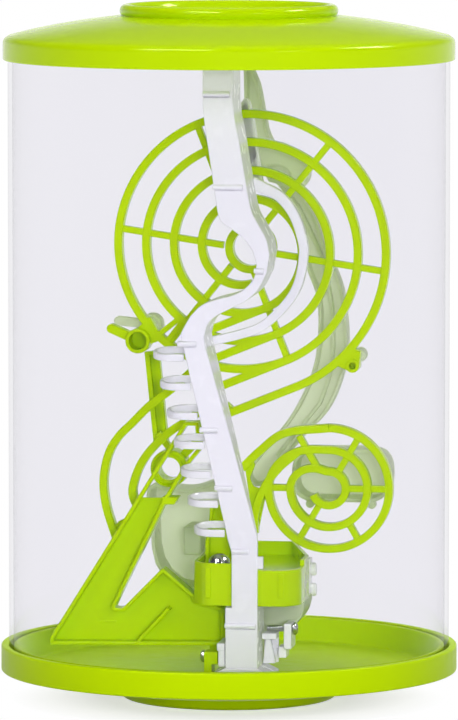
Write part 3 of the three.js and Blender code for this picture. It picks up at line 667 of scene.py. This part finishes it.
def spine():
    """The open-backed channel, whose sides grow shallow down the slant, with its ridges and foot."""
    def back(point):
        """The sides' rear edge: shallow low down, and full depth above the slant."""
        share = max(0.0, (point.y - SPINE_TAPER_LOW_Z) / (SLANT_TOP_Z + 2 - SPINE_TAPER_LOW_Z))
        return min(SPINE_BACK, SPINE_THIN_BACK + (SPINE_BACK + 1 - SPINE_THIN_BACK) * share)

    def before_back(point):
        return back(point) - 0.3

    def floor_at(point):
        return min(SPINE_FRONT + wall, back(point) - 0.4)

    wall = SPINE_WALL
    levels = quarter(0, SPINE_FRONT, 0.5, 1, True)
    levels += [(0, before_back), (0.3, back), (wall - 0.3, back), (wall, before_back)]
    levels += [(wall, floor_at)]
    shell = lofted(spine_outline(), levels)
    low, middle, high = RUN_FOOT_Z, RUN_FOOT_Z + 1.6, RUN_FOOT_Z + 4.2
    foot_line = [(3.9, low + 3.6), (15.7, low + 3.6), (15.7, FOOT_TOP_Z), (3.9, FOOT_TOP_Z)]
    foot = bin_of(eased(foot_line, 0.4), FOOT_BACK, SPINE_FRONT, wall, wall)
    sole_line = [(-1.4, low), (21, low), (21, middle), (15.9, high), (3.7, high), (-1.4, middle)]
    sole = slab(eased(sole_line, 0.4), SPINE_FRONT - 0.8, FOOT_BACK + 1.6)
    latch = block(15, 17.7, SPINE_FRONT + 0.4, SPINE_THIN_BACK - 0.2, 51.8, 56.2, 0.25)
    ridges = [(-4.3, 5.6, 223.4), (-0.7, 10.4, 189.9), (14.4, 18, 159.8), (-13.5, -6.4, 133.1),
              (-5.4, 1.3, 102), (0, 6.6, 81), (6.2, 12.4, 58.2), (3.7, 15.1, 31)]
    body = joined([shell, foot, sole, latch] + [ridge(*place) for place in ridges])
    return cut(body, [shade_line(*place) for place in ridges])


def guide_rail():
    """The rail round the wheel's eye, which narrows over its first two fifths."""
    line = spline([(10.6, 190.3), (14.6, 188.3), (20.8, 185.1), (25.9, 178.6), (28.8, 170.3),
                   (29.5, 163.7), (27.4, 153.2), (22.6, 145.5), (14.6, 138.1), (6.5, 134.9),
                   (-5.2, 132)], 90)
    count = len(line)
    outer, inner = [], []
    for i, point in enumerate(line):
        along = (line[min(i + 1, count - 1)] - line[max(i - 1, 0)]).normalized()
        width = 2.15 - 0.5 * min(1.0, i / (count * 0.4))
        outer.append(point + Vector((along.y, -along.x)) * width)
        inner.append(point - Vector((along.y, -along.x)) * width)
    front = SPINE_BACK + GAP
    return slab(outer + inner[::-1], front, front + 4, 0.5)


def hoop(level):
    """A D-shaped ring lying flat, that the ball drops through."""
    z = HOOP_TOP_Z - HOOP_STEP_Z * level
    tilt = Matrix.Rotation(math.radians(HOOP_TILT), 4, "X")
    lift = HOOP_RADIUS * math.sin(math.radians(HOOP_TILT))
    root = spine_left_at(z + HOOP_HEIGHT / 2 + lift) - GAP
    middle = root - HOOP_REACH + HOOP_RADIUS

    def sweep(x, radius):
        """The ring's outline at one radius, from its back root round to its front root."""
        round_end = [polar((middle, 0), radius, math.radians(90 + 6 * k)) for k in range(31)]
        return [Vector((x, radius))] + round_end + [Vector((x, -radius))]

    place = RUN @ Matrix.Translation(Vector((0, HOOP_MIDDLE_Y, z)) * MM) @ tilt
    low, high = -HOOP_HEIGHT / 2, HOOP_HEIGHT / 2
    flare = [(-0.5, low - 0.2), (-0.4, low), (0, low + 0.5)]
    flare += [(0, high - 0.5), (-0.4, high), (-0.5, high + 0.2)]
    eye = lofted(sweep(root + 1, HOOP_RADIUS - HOOP_WALL), flare, "z", place)
    return cut(slab(sweep(root, HOOP_RADIUS), low, high, 0.45, "z", place), [eye])


# ---- spiral wheels ----
def wheel_radius(turns):
    return WHEEL_EYE + WHEEL_PITCH * turns


def bar(line, width, front=WHEEL_FRONT, back=WHEEL_BACK, edge=0.45):
    return slab(strip(line, width), front, back, edge)


def ring(centre, outer, inner, front, back, edge=0.45):
    disc = slab(circle(centre, outer, 72), front, back, edge)
    return cut(disc, [slab(circle(centre, inner, 72), front - 1, back + 1, 0.1)])


def spoke(centre, angle, start, stop, front, back):
    return bar([polar(centre, start, angle), polar(centre, stop, angle)], SPOKE_WIDTH, front, back, 0.4)


def big_spiral():
    """The big wheel: its spiral, spokes, four tangent rails, the boss and the lug."""
    steps = 420
    line = []
    for i in range(steps + 1):
        turns = WHEEL_START + (WHEEL_END - WHEEL_START) * i / steps
        line.append(polar(WHEEL_CENTRE, wheel_radius(turns), math.pi - 2 * math.pi * turns))
    hub = WHEEL_CENTRE + Vector((2.2, 0.4))
    parts = [bar(line, RAIL_WIDTH), ring(hub, 9.4, 6.5, WHEEL_FRONT, WHEEL_BACK)]
    for i in range(6):
        angle = math.radians(-8.7 + 60 * i)
        here = (math.pi - angle) / (2 * math.pi)
        outer = here + math.floor(WHEEL_END - here)
        parts.append(spoke(WHEEL_CENTRE, angle, 8, wheel_radius(outer), SPOKE_FRONT, SPOKE_BACK))
    slope = math.radians(22)
    for turn, length in ((1, 27), (2, 28), (3, 31), (4, 32)):
        start = polar(WHEEL_CENTRE, wheel_radius(turn + 0.69), slope - math.pi / 2)
        stop = start - Vector((math.cos(slope), math.sin(slope))) * length
        parts.append(bar([start, stop], RAIL_WIDTH))
    web = eased([(-36, 133), (-33.4, 128), (-24, 131.4), (-29, 140)], 1)
    parts.append(slab(web, WHEEL_FRONT, WHEEL_BACK))
    parts += [bar([WING_END, (-34, 131.2)], 3.4), bar([(-25.5, 133.3), (-18.6, 138.8)], 2),
              bar([(-22.6, 130.6), (-16.8, 138.2)], 2)]
    parts.append(slab(eased(LUG_WEB, 0.6), WHEEL_FRONT, WHEEL_BACK))
    parts += [rod(4.55, WHEEL_FRONT - 3, WHEEL_BACK + 2, *BOSS, 56, 0.5),
              rod(1.7, WHEEL_FRONT, WHEEL_BACK, *WING_END, 28),
              rod(2.5, WHEEL_FRONT - 1, WHEEL_BACK + 2, *LUG, 36)]
    bores = [rod(3.3, WHEEL_FRONT - 4, WHEEL_BACK + 1, *BOSS, 56, 0.1),
             rod(1.3, WHEEL_FRONT - 2, WHEEL_BACK - 0.5, *LUG, 36, 0.1)]
    return cut(joined(parts), bores)


def small_line():
    """The small spiral, in three turns that step outward as they pass the top."""
    line = []
    steps = 96
    for i in range(30, steps * 3 + 1):
        turns = i / steps
        whole = math.floor(turns)
        t = min(1.0, (turns - whole) / 0.25)
        radius = SMALL_EYE + SMALL_PITCH * (whole - 1 + t * t * (3 - 2 * t))
        line.append(polar(SMALL_CENTRE, radius, math.pi / 2 + 2 * math.pi * turns))
    return line


def small_spiral():
    """The small wheel, its run-in and run-out rails and the thin web between them."""
    line = small_line()
    outer = SMALL_EYE + 2 * SMALL_PITCH
    run_in = spline([line[-1], (21, 97.6), (12, 91.2), (5, 84.4)], 30)
    run_out = spline([(25.6, 90.6), (18.6, 84.6), (13.2, 77.2), (10, 68), (9.6, 60.6)], 40)
    parts = [bar(line, RAIL_WIDTH - 0.1), bar(run_in, RAIL_WIDTH), bar(run_out, RAIL_WIDTH)]
    web = [(5.4, 86.8), (8, 88.6), (9.6, 85.4), (7.6, 80.6), (8.8, 77.6), (11.6, 76.6),
           (14.4, 78.2), (17, 80.6), (13, 72), (11, 62), (9.2, 62)]
    parts.append(slab(eased(web[::-1], 0.8), 0.4, WHEEL_BACK, 0.3))
    for degrees, start in ((0, 6.2), (60, 6.2), (120, 8.4), (180, 14.2), (240, 7.6), (300, 14.2)):
        angle = math.radians(degrees)
        parts.append(spoke(SMALL_CENTRE, angle, start, outer, SPOKE_FRONT, SPOKE_BACK))
    return joined(parts)


def lower_spiral():
    """The lower left wheel's three rails, two spokes and its hub with a stepped face."""
    front, back = LOWER_FRONT, LOWER_BACK
    lines = [spline([(-14, 119.6), (-22.4, 112.2), (-29.9, 106.5), (-36.6, 99.8), (-41.8, 94.5),
                     (-45.5, 87.8), (-47.2, 78.5), (-46.3, 69.3), (-43.6, 60.4), (-42.4, 57)], 70),
             spline([(-9, 106.4), (-15.8, 101.2), (-21.7, 97.4), (-27.7, 92.1), (-32.5, 86.1),
                     (-35.5, 79.4), (-36.3, 73.1), (-33, 66)], 56),
             spline([(-17.4, 88.4), (-9.4, 96.6), (0, 107)], 16)]
    parts = [bar(line, RAIL_WIDTH, front, back) for line in lines]
    parts += [bar([(-43.2, 59.2), (-41, 62.4), (-33, 66)], SPOKE_WIDTH, front + 0.6, back),
              bar([(-22.3, 90), (-27, 96.4)], SPOKE_WIDTH, front + 0.6, back),
              rod(6.9, front - 3, back + 3, *LOWER_HUB, 64, 0.6)]
    inside = rod(5.2, front - 5, front, *LOWER_HUB, 64, 0.1)
    groove = cut(rod(6.1, front - 4, front - 2.2, *LOWER_HUB, 64, 0.1), [inside])
    return cut(joined(parts), [rod(4.15, front - 4, back + 4, *LOWER_HUB, 64, 0.1), groove])


def strut():
    """The post behind the lower wheel, with a groove down its front."""
    front = LOWER_BACK + GAP
    body = bar([(-30, 126), (-26.6, 92)], 5.4, front, STRUT_BACK, 0.4)
    return cut(body, [bar([(-29.85, 124.6), (-26.75, 93.4)], 1.8, front - 1.3, front + 2.1, 0.2)])


# ---- ramp tray and start cup ----
def ramp_tray():
    """The shallow tray at the left, open at its top end, with its rib, tab, lug and plain bar."""
    top = [(-12.1, 87.3), (-7.6, 92.8), (-8.4, 103), (-13.6, 103)]
    outline = [(-63.4, 20.3), (1, 21.2), (1, 35), (-9.6, 37.4), (-9.6, 39.3), (-21.7, 49.4),
               (-36.5, 34.3), (-39.5, 34.3), (-20.4, 73.6)] + top + [(-63.4, 23)]
    tray = bin_of(eased(outline, 0.8, 4), TRAY_FRONT, TRAY_BACK, TRAY_WALL, TRAY_WALL, 0.45)
    window = [Vector(p) for p in [(-33, 73), (-22.4, 73), (-20.6, 73.4)] + top]
    opening = slab(drawn_in(window, TRAY_WALL), TRAY_FRONT + 4, TRAY_BACK + 1, 0.1)
    face = TRAY_BACK - TRAY_WALL
    rib = bar([(-31, 22), (-19.5, 34.3)], 1.5, TRAY_FRONT + 0.6, face + 0.4, 0.5)
    tab_line = eased([(-22, 72.6), (-17.4, 72.6), (-15.8, 75.4), (-22, 75.4)], 0.4)
    tab = slab(tab_line, TRAY_FRONT, TRAY_BACK, 0.4)
    lug = block(-4.6, 0.6, TRAY_FRONT + 2, TRAY_BACK, RUN_FOOT_Z + 5, 22)
    mark = bar([(-46, 28.3), (-39.6, 28.5)], 0.9, face - 0.35, face + 0.4, 0.2)
    return joined([cut(tray, [opening]), rib, tab, lug, mark])


def start_cup():
    """An eight-sided dish on a hollow skirt, its front rim dipped towards the right."""
    corners = [(-4, -35.4), (25.4, -35.4), (30.4, -29), (30.4, -6), (20, 36), (-6, 36),
               (-9, 26), (-9, -29)]
    wall, low, high = CUP_WALL, CUP_LOW_Z, CUP_RIM_Z
    levels = [(wall, CUP_FLOOR_Z - wall), (wall, low + 0.3), (wall - 0.3, low), (0.3, low)]
    levels += [(0, low + 0.3), (0, high - 0.4), (0.12, high - 0.12), (0.4, high)]
    levels += [(wall - 0.4, high), (wall - 0.12, high - 0.12), (wall, high - 0.4)]
    skirt = lofted(eased(corners, 2.4, 5), levels + [(wall, CUP_FLOOR_Z)], "z")
    dip = block(6, 40, -50, -20, high - 2.3, high + 1, 0.2)
    ribs = [block(-3.8, -1.6, -36.1, -35, low + 3, high - 1.6, 0.4),
            block(22.8, 25, -36.1, -35, low + 3, high - 3.6, 0.4)]
    return joined([cut(skirt, [dip])] + ribs)


def drop_chute():
    """The plate behind the cup's left end, with a flange up its left edge."""
    low = CUP_FLOOR_Z + GAP
    edge = [(-5.2, 71.5), (-5.6, 66), (-7, 58.6)]
    plate = [(-7, low), (1.4, low), (1.4, 55), (-0.8, 66), (-1.9, 71.5)] + edge
    flange = [(-7, low), (-5.6, low), (-5.6, 58.4), (-4, 71.5)] + edge
    return joined([slab(eased(plate, 0.5), -9, -7.6), slab(eased(flange, 0.4), -13, -8)])


# ---- pieces behind the wheels ----
def back_ribbon():
    """The long S-shaped channel behind everything, open to the front, with a fold inside it."""
    left = [Vector((1.6, SPINE_TOP_Z)), Vector((2.2, 205))]
    left += spline([(10, 192), (21.4, 176.3), (24.8, 157.5), (28.7, 146.1), (29.6, 135),
                    (28.2, 121.2), (24.1, 110), (18.2, 99.6), (8.8, 88.3)], 64)
    left += spline([(3.4, 81.6), (3.4, 77.4), (6.6, 74.6), (10.6, 76.2)], 18)
    right = spline([(12.6, 79), (23, 92.2), (32.7, 102.7), (37.9, 113.9), (40.4, 127.7),
                    (38.9, 146.2), (35.2, 157.4)], 50)
    right += spline([(32.4, 163), (28, 175), (18, 191), (11, 205.4)], 24)
    right += spline([(10.3, 207.6), (9.1, 214.2), (7.3, 223.4), (4.9, 229.6), (4.6, SPINE_TOP_Z)], 16)
    shell = bin_of(left + right, RIBBON_FRONT, RIBBON_BACK, 1.2, 1.4)
    fold = spline([(21.1, 179.3), (26.7, 168.2), (30.8, 158.3), (33.7, 144.3), (34.5, 136.9),
                   (34.2, 120.2), (30.4, 107.2), (27.5, 102.7), (14, 86)], 50)
    return joined([shell, bar(fold, 1.2, RIBBON_FRONT + 2.5, RIBBON_BACK - 1, 0.3)])


def arch_outline():
    corners = [(2, 188), (11.8, 188), (10.4, 198.8), (8.7, 209.8), (7.8, 214.6), (6.7, 218.6),
               (5.4, 220.2), (3.8, 218.4), (2, 213)]
    return eased(corners, 1.2, 4)


def arch_frame():
    outline = arch_outline()
    opening = slab(drawn_in(outline, 1), ARCH_FRONT - 1, ARCH_BACK + 1, 0.1)
    return cut(slab(outline, ARCH_FRONT, ARCH_BACK, 0.3), [opening])


def arch_plate():
    return slab(drawn_in(arch_outline(), 1 + GAP), ARCH_FRONT + 1.6, ARCH_BACK - 1, 0.2)


def catch_tray():
    """The pale block beside the wheel's top, with a shallow well in its front."""
    outline = spline([(12.4, 188.4), (9, 195), (7.7, 203.1)], 10)
    outline += spline([(12.6, 203.3), (17.4, 202.5), (20.7, 200.7), (23.7, 198.1), (25.9, 195.2),
                       (27.4, 191.9), (27, 188.9), (24.8, 186)], 40)
    outline += [Vector((22.2, 184.5)), Vector((16.3, 187.4))]
    well = spline([(12, 194.2), (16, 194.4), (19, 193), (20.4, 190.3), (18.2, 188.6),
                   (13.6, 189.8)], 40)
    front = CATCH_FRONT
    levels = [(-0.9, front - 0.4), (-0.7, front), (0, front + 0.7), (0, front + 5), (0.6, front + 6)]
    return cut(slab(outline[::-1], front, CATCH_BACK, 0.7), [lofted(well[::-1], levels)])


def rear_boss():
    """The pale boss behind the wheel's left boss, with its wing."""
    front, back = REAR_BOSS_FRONT, REAR_BOSS_BACK
    wing_end = (-43.2, 136.6)
    parts = [rod(4.2, front, back, *REAR_BOSS, 56, 0.6),
             bar([wing_end, (-31, 135.4)], 3.4, front + 2, back - 2, 0.5),
             rod(1.7, front + 2, back - 2, *wing_end, 28)]
    return cut(joined(parts), [rod(2.8, front - 1, back - 2, *REAR_BOSS, 48, 0.1)])


def rear_knob():
    return joined([rod(2.6, 6, 14, *REAR_KNOB, 40, 0.5), rod(1.6, 4.8, 7, *REAR_KNOB, 32, 0.4)])


def trough():
    """The round-ended pale trough behind the small wheel, on two pegs."""
    outline = eased([(21.4, 70.6), (57.7, 70.6), (57.7, 90.2), (21.4, 90.2)], 10.35, 12)
    shell = bin_of(outline, TROUGH_FRONT, REAR_CUPS_BACK, 1.5, 1.6, 0.5)
    pegs = [rod(1.6, TROUGH_FRONT + 0.6, TROUGH_FRONT + 4, x, 69.8, 28) for x in (28, 50.9)]
    return joined([shell] + pegs)


def bowl_left():
    """The pale bowl behind the ramp tray, with a block inside it."""
    outline = [(-20, 37.6), (-9.8, 37.6), (-9.8, 54.4), (-4.6, 54.4), (-4.6, 78.4), (-7.9, 77.6),
               (-16.1, 74.6), (-24, 75), (-29, 76.8), (-32.2, 75.4), (-32.6, 71), (-31, 63),
               (-30.6, 53), (-29.2, 47), (-26, 41.6)]
    bowl = bin_of(eased(outline, 3, 6), BOWL_FRONT, REAR_CUPS_BACK, 1.4, 1.5, 0.5)
    return joined([bowl, block(-18.4, -12, BOWL_FRONT - 2, REAR_CUPS_BACK - 1, 50.6, 61, 0.8)])


def bowl_right():
    """The pale bowl under the cup."""
    wall = 1.6
    outer = [Vector((3, 37.4)), Vector((3, 25.6))] + bend((17, 25.6), (29.8, 26.4), (29.8, 37.4))
    inner = [Vector((4.6, 38)), Vector((4.6, 27.2))] + bend((17, 27.2), (28.2, 27.8), (28.2, 38))
    hollow = slab(inner, BOWL_RIGHT_FRONT + wall, BOWL_RIGHT_BACK - wall, 0.3)
    return cut(slab(outer, BOWL_RIGHT_FRONT, BOWL_RIGHT_BACK, 0.5), [hollow])


def sideways(place, side=1):
    """Turns a solid's own z to the run's x, or to -x where side is -1, and moves it to place."""
    moved = Matrix.Translation(Vector(place) * MM)
    return RUN @ moved @ Matrix.Rotation(side * math.pi / 2, 4, "Y")


def knob_plate():
    """A small plate at the right of the cup, with two round knobs."""
    knob = [(0, -1.4), (2.4, -1.4), (2.4, 1.2), (2, 1.7), (0, 1.7)]
    knobs = [turned(knob, 40, sideways((29.1, 12, z))) for z in (46, 38.4)]
    return joined([block(27.4, 28.8, 8, 16, 34, 50, 0.3)] + knobs)


# ---- brackets and screws at the foot ----
def gusset():
    """A plate beside the foot, with a rib in front and an arm forward from its top."""
    plate = slab(eased([(16.2, 16), (21.6, 16), (21.6, 25.6), (16.2, 25.6)], 0.5), -24, -22.4, 0.3)
    rib_line = [(16.2, 16), (20.8, 16), (19, 24.9), (18.2, 25.6), (17.2, 25.6)]
    rib = slab(eased(rib_line, 0.6), -27, -23.5, 0.4)
    return joined([plate, rib, block(16.2, 21.6, -30, -22.4, 25.2, 27.4, 0.4)])


def screw_bracket():
    """A plate on a toe, bored along x for its screw."""
    plate = block(24.2, 27, -30, -18, 21.6, 31, 0.5)
    toe = block(21.9, 25, -28, -20, 18.2, 22.4, 0.5)
    bore = lofted(circle(BRACKET_SCREW[1:], 1.4, 32), [(0, 20), (0, 30)], "x")
    return cut(joined([plate, toe]), [bore])


def left_block():
    """The stepped white block against the foot's left side."""
    back = FOOT_BACK - 1
    upper = block(0.8, 3.6, SPINE_FRONT + 0.4, back, 21.6, 24.4, 0.4)
    return joined([upper, block(1.2, 3.6, SPINE_FRONT + 0.9, back, RUN_FOOT_Z + 4.5, 22.4, 0.4)])


def lime_lug():
    leg = block(-4.6, -1.7, -33, -25, RUN_FOOT_Z, 20.6, 0.4)
    return joined([leg, block(-2.2, 0.4, -33, -25, 16, 20.6, 0.4)])


# ---- each CAD node, what draws it and its look ----
LOOKS = (
    ("base_cover", base_cover, LIME_SATIN), ("base_dish", base_dish, LIME_SATIN),
    ("top_cap", top_cap, LIME), ("top_plate", top_plate, LIME),
    ("top_cover_disc", top_cover_disc, LIME), ("clear_tube", clear_tube, CLEAR),
    ("spine", spine, WHITE), ("guide_rail", guide_rail, WHITE),
    ("big_spiral", big_spiral, LIME), ("small_spiral", small_spiral, LIME),
    ("lower_spiral", lower_spiral, LIME), ("strut", strut, LIME),
    ("ramp_tray", ramp_tray, LIME), ("start_cup", start_cup, LIME),
    ("drop_chute", drop_chute, LIME), ("back_ribbon", back_ribbon, MILKY),
    ("arch_frame", arch_frame, WHITE), ("arch_plate", arch_plate, LIME),
    ("catch_tray", catch_tray, MILKY), ("rear_boss", rear_boss, MILKY),
    ("rear_knob", rear_knob, MILKY), ("trough", trough, MILKY),
    ("bowl_left", bowl_left, MILKY), ("bowl_right", bowl_right, MILKY),
    ("knob_plate", knob_plate, WHITE), ("gusset", gusset, WHITE),
    ("screw_bracket", screw_bracket, WHITE), ("left_block", left_block, WHITE),
    ("lime_lug", lime_lug, LIME),
)
for node, make, look in LOOKS:
    show(node, make(), look)
for level in range(HOOP_COUNT):
    show("hoop_%d" % (level + 1), hoop(level), WHITE)


def steel_ball():
    steps = 48
    profile = [(0, -BALL_RADIUS)]
    for k in range(1, steps):
        angle = math.pi * k / steps
        profile.append((BALL_RADIUS * math.sin(angle), -BALL_RADIUS * math.cos(angle)))
    profile.append((0, BALL_RADIUS))
    return turned(profile, 96, RUN, BALL_PLACE)


show("steel_ball", steel_ball(), BALL_STEEL, "ball")
for i, (x, y) in enumerate(BASE_SCREWS):
    upturned = Matrix.Translation(Vector((x, y, BASE_SCREW_Z)) * MM) @ Matrix.Rotation(math.pi, 4, "X")
    show("base_screw_%d" % (i + 1), screw(2.8, 1.5, 1.5, 4.4, upturned), STEEL)
show("bracket_screw", screw(2.3, 1.6, 1.05, 9.8, sideways(BRACKET_SCREW)), STEEL)
show("lug_screw", screw(2.3, 1.6, 1.05, 0, sideways(LUG_SCREW, -1)), STEEL)


# ---- floor, light, camera ----
def floor():
    """A white paper floor: shaded near the object, and evenly bright further off.

    The light that it gives the object is a glow painted in as bounce light: weak beside the foot, as
    painted shade under the base, and growing outward.
    """
    reach = FLOOR_REACH
    corners = [(-reach, -reach, 0), (reach, -reach, 0), (reach, reach, 0), (-reach, reach, 0)]
    mesh = bpy.data.meshes.new("floor")
    mesh.from_pydata(corners, [], [(0, 1, 2, 3)])
    plane = bpy.data.objects.new("floor", mesh)
    plane.location.z = -0.0002
    bpy.context.scene.collection.objects.link(plane)
    tree = Tree("floor")
    paper = tree.nodes.new("ShaderNodeBsdfDiffuse")
    # The paper's faint purple is a painted counter-tint against the lime light that the base throws on
    # the floor.
    paper.inputs["Color"].default_value = (0.8, 0.78, 0.82, 1)
    distance = tree.nodes.new("ShaderNodeVectorMath")
    distance.operation = "LENGTH"
    tree.put(distance.inputs[0], tree.place)

    def glow(strength):
        node = tree.nodes.new("ShaderNodeEmission")
        tree.put(node.inputs["Strength"], strength)
        return node.outputs[0]

    lit = tree.nodes.new("ShaderNodeAddShader")
    tree.links.new(paper.outputs[0], lit.inputs[0])
    tree.links.new(glow(0.6), lit.inputs[1])
    far = tree.spread(distance.outputs["Value"], 0.0, 1.0, 0.045, 0.08)
    seen = tree.mixed(far, lit.outputs[0], glow(1.0))
    # Painted bounce light: a glow that only the object's diffuse light sees, kept weak near the foot as
    # painted shade under the base.
    painted_bounce_glow = glow(tree.spread(distance.outputs["Value"], 0.05, 0.95, 0.06, 0.25))
    soft = tree.nodes.new("ShaderNodeLightPath").outputs["Is Diffuse Ray"]
    mesh.materials.append(tree.finish(tree.mixed(soft, seen, painted_bounce_glow)))


def hung(light, place, aim):
    """Puts a light at place, turned towards aim."""
    lamp = bpy.data.objects.new(light.name, light)
    lamp.location = place
    lamp.rotation_mode = "QUATERNION"
    lamp.rotation_quaternion = (Vector(place) - aim).to_track_quat("Z", "Y")
    bpy.context.scene.collection.objects.link(lamp)
    return lamp


def softbox(name, place, size, power, mirrored=True, diffuse=True):
    light = bpy.data.lights.new(name, "AREA")
    light.shape = "RECTANGLE"
    light.size, light.size_y = size
    light.energy = power
    lamp = hung(light, place, AIM)
    lamp.visible_glossy = mirrored
    lamp.visible_diffuse = diffuse
    lamp.visible_camera = False


def card(name, azimuth, width):
    """A bright card that only shows as a highlight."""
    turn = math.radians(azimuth)
    place = (CARD_DISTANCE * math.sin(turn), -CARD_DISTANCE * math.cos(turn), CARD_HEIGHT)
    softbox(name, place, (width, CARD_DEPTH), CARD_WATTS * width * CARD_DEPTH, diffuse=False)


def low_spot():
    """A narrow light on the base from the front, low down."""
    light = bpy.data.lights.new("low", "SPOT")
    light.energy = LOW_WATTS
    light.spot_size = math.radians(LOW_CONE)
    light.spot_blend = 1.0
    light.shadow_soft_size = 0.2
    hung(light, LOW_PLACE, BASE_AIM).visible_glossy = False


floor()
softbox("key", (1.1, -1.8, 0.9), (0.5, 0.3), 9)
softbox("side", (-1.3, -1.7, 0.8), (0.5, 0.3), 6)
softbox("front", (0.3, -2.3, 0.5), (1.4, 0.8), 11, mirrored=False)
softbox("top", (0.1, 0.2, 1.9), (1.4, 1.4), 24, mirrored=False)
softbox("rear", (0.2, 1.8, 0.8), (1.6, 1.0), 34, mirrored=False)
card("card_left", -31, 1.1)
card("card_right", 92, 0.8)
low_spot()


def studio_world():
    """A dim sky with a bright backdrop behind the object, low down."""
    world = bpy.data.worlds.new("studio")
    bpy.context.scene.world = world
    world.use_nodes = True
    nodes, links = world.node_tree.nodes, world.node_tree.links
    split = nodes.new("ShaderNodeSeparateXYZ")
    links.new(nodes.new("ShaderNodeTexCoord").outputs["Generated"], split.inputs[0])

    def ramp(axis, start, end, low, high):
        """The sky's strength along one axis of the direction looked in."""
        node = nodes.new("ShaderNodeMapRange")
        links.new(split.outputs[axis], node.inputs["Value"])
        node.inputs["From Min"].default_value = start
        node.inputs["From Max"].default_value = end
        node.inputs["To Min"].default_value = low
        node.inputs["To Max"].default_value = high
        return node.outputs["Result"]

    def maths(operation, one, other):
        node = nodes.new("ShaderNodeMath")
        node.operation = operation
        links.new(one, node.inputs[0])
        links.new(other, node.inputs[1])
        return node.outputs[0]

    backdrop = maths("MULTIPLY", ramp("Y", -0.1, 0.6, 0.0, 1.0), ramp("Z", 0.04, 0.32, 0.85, 0.0))
    background = nodes["Background"]
    background.inputs["Color"].default_value = (0.97, 0.97, 1.0, 1)
    strength = maths("ADD", backdrop, ramp("Y", -0.9, 0.5, 0.08, 0.14))
    links.new(strength, background.inputs["Strength"])


def front_camera():
    data = bpy.data.cameras.new("camera")
    data.lens = CAMERA_LENS
    data.sensor_width = 36
    data.clip_end = 100
    camera = bpy.data.objects.new("camera", data)
    camera.location = CAMERA_PLACE
    camera.rotation_euler = (math.radians(CAMERA_PITCH), 0, 0)
    bpy.context.scene.collection.objects.link(camera)
    bpy.context.scene.camera = camera


studio_world()
front_camera()
bpy.context.scene.view_settings.view_transform = "Standard"
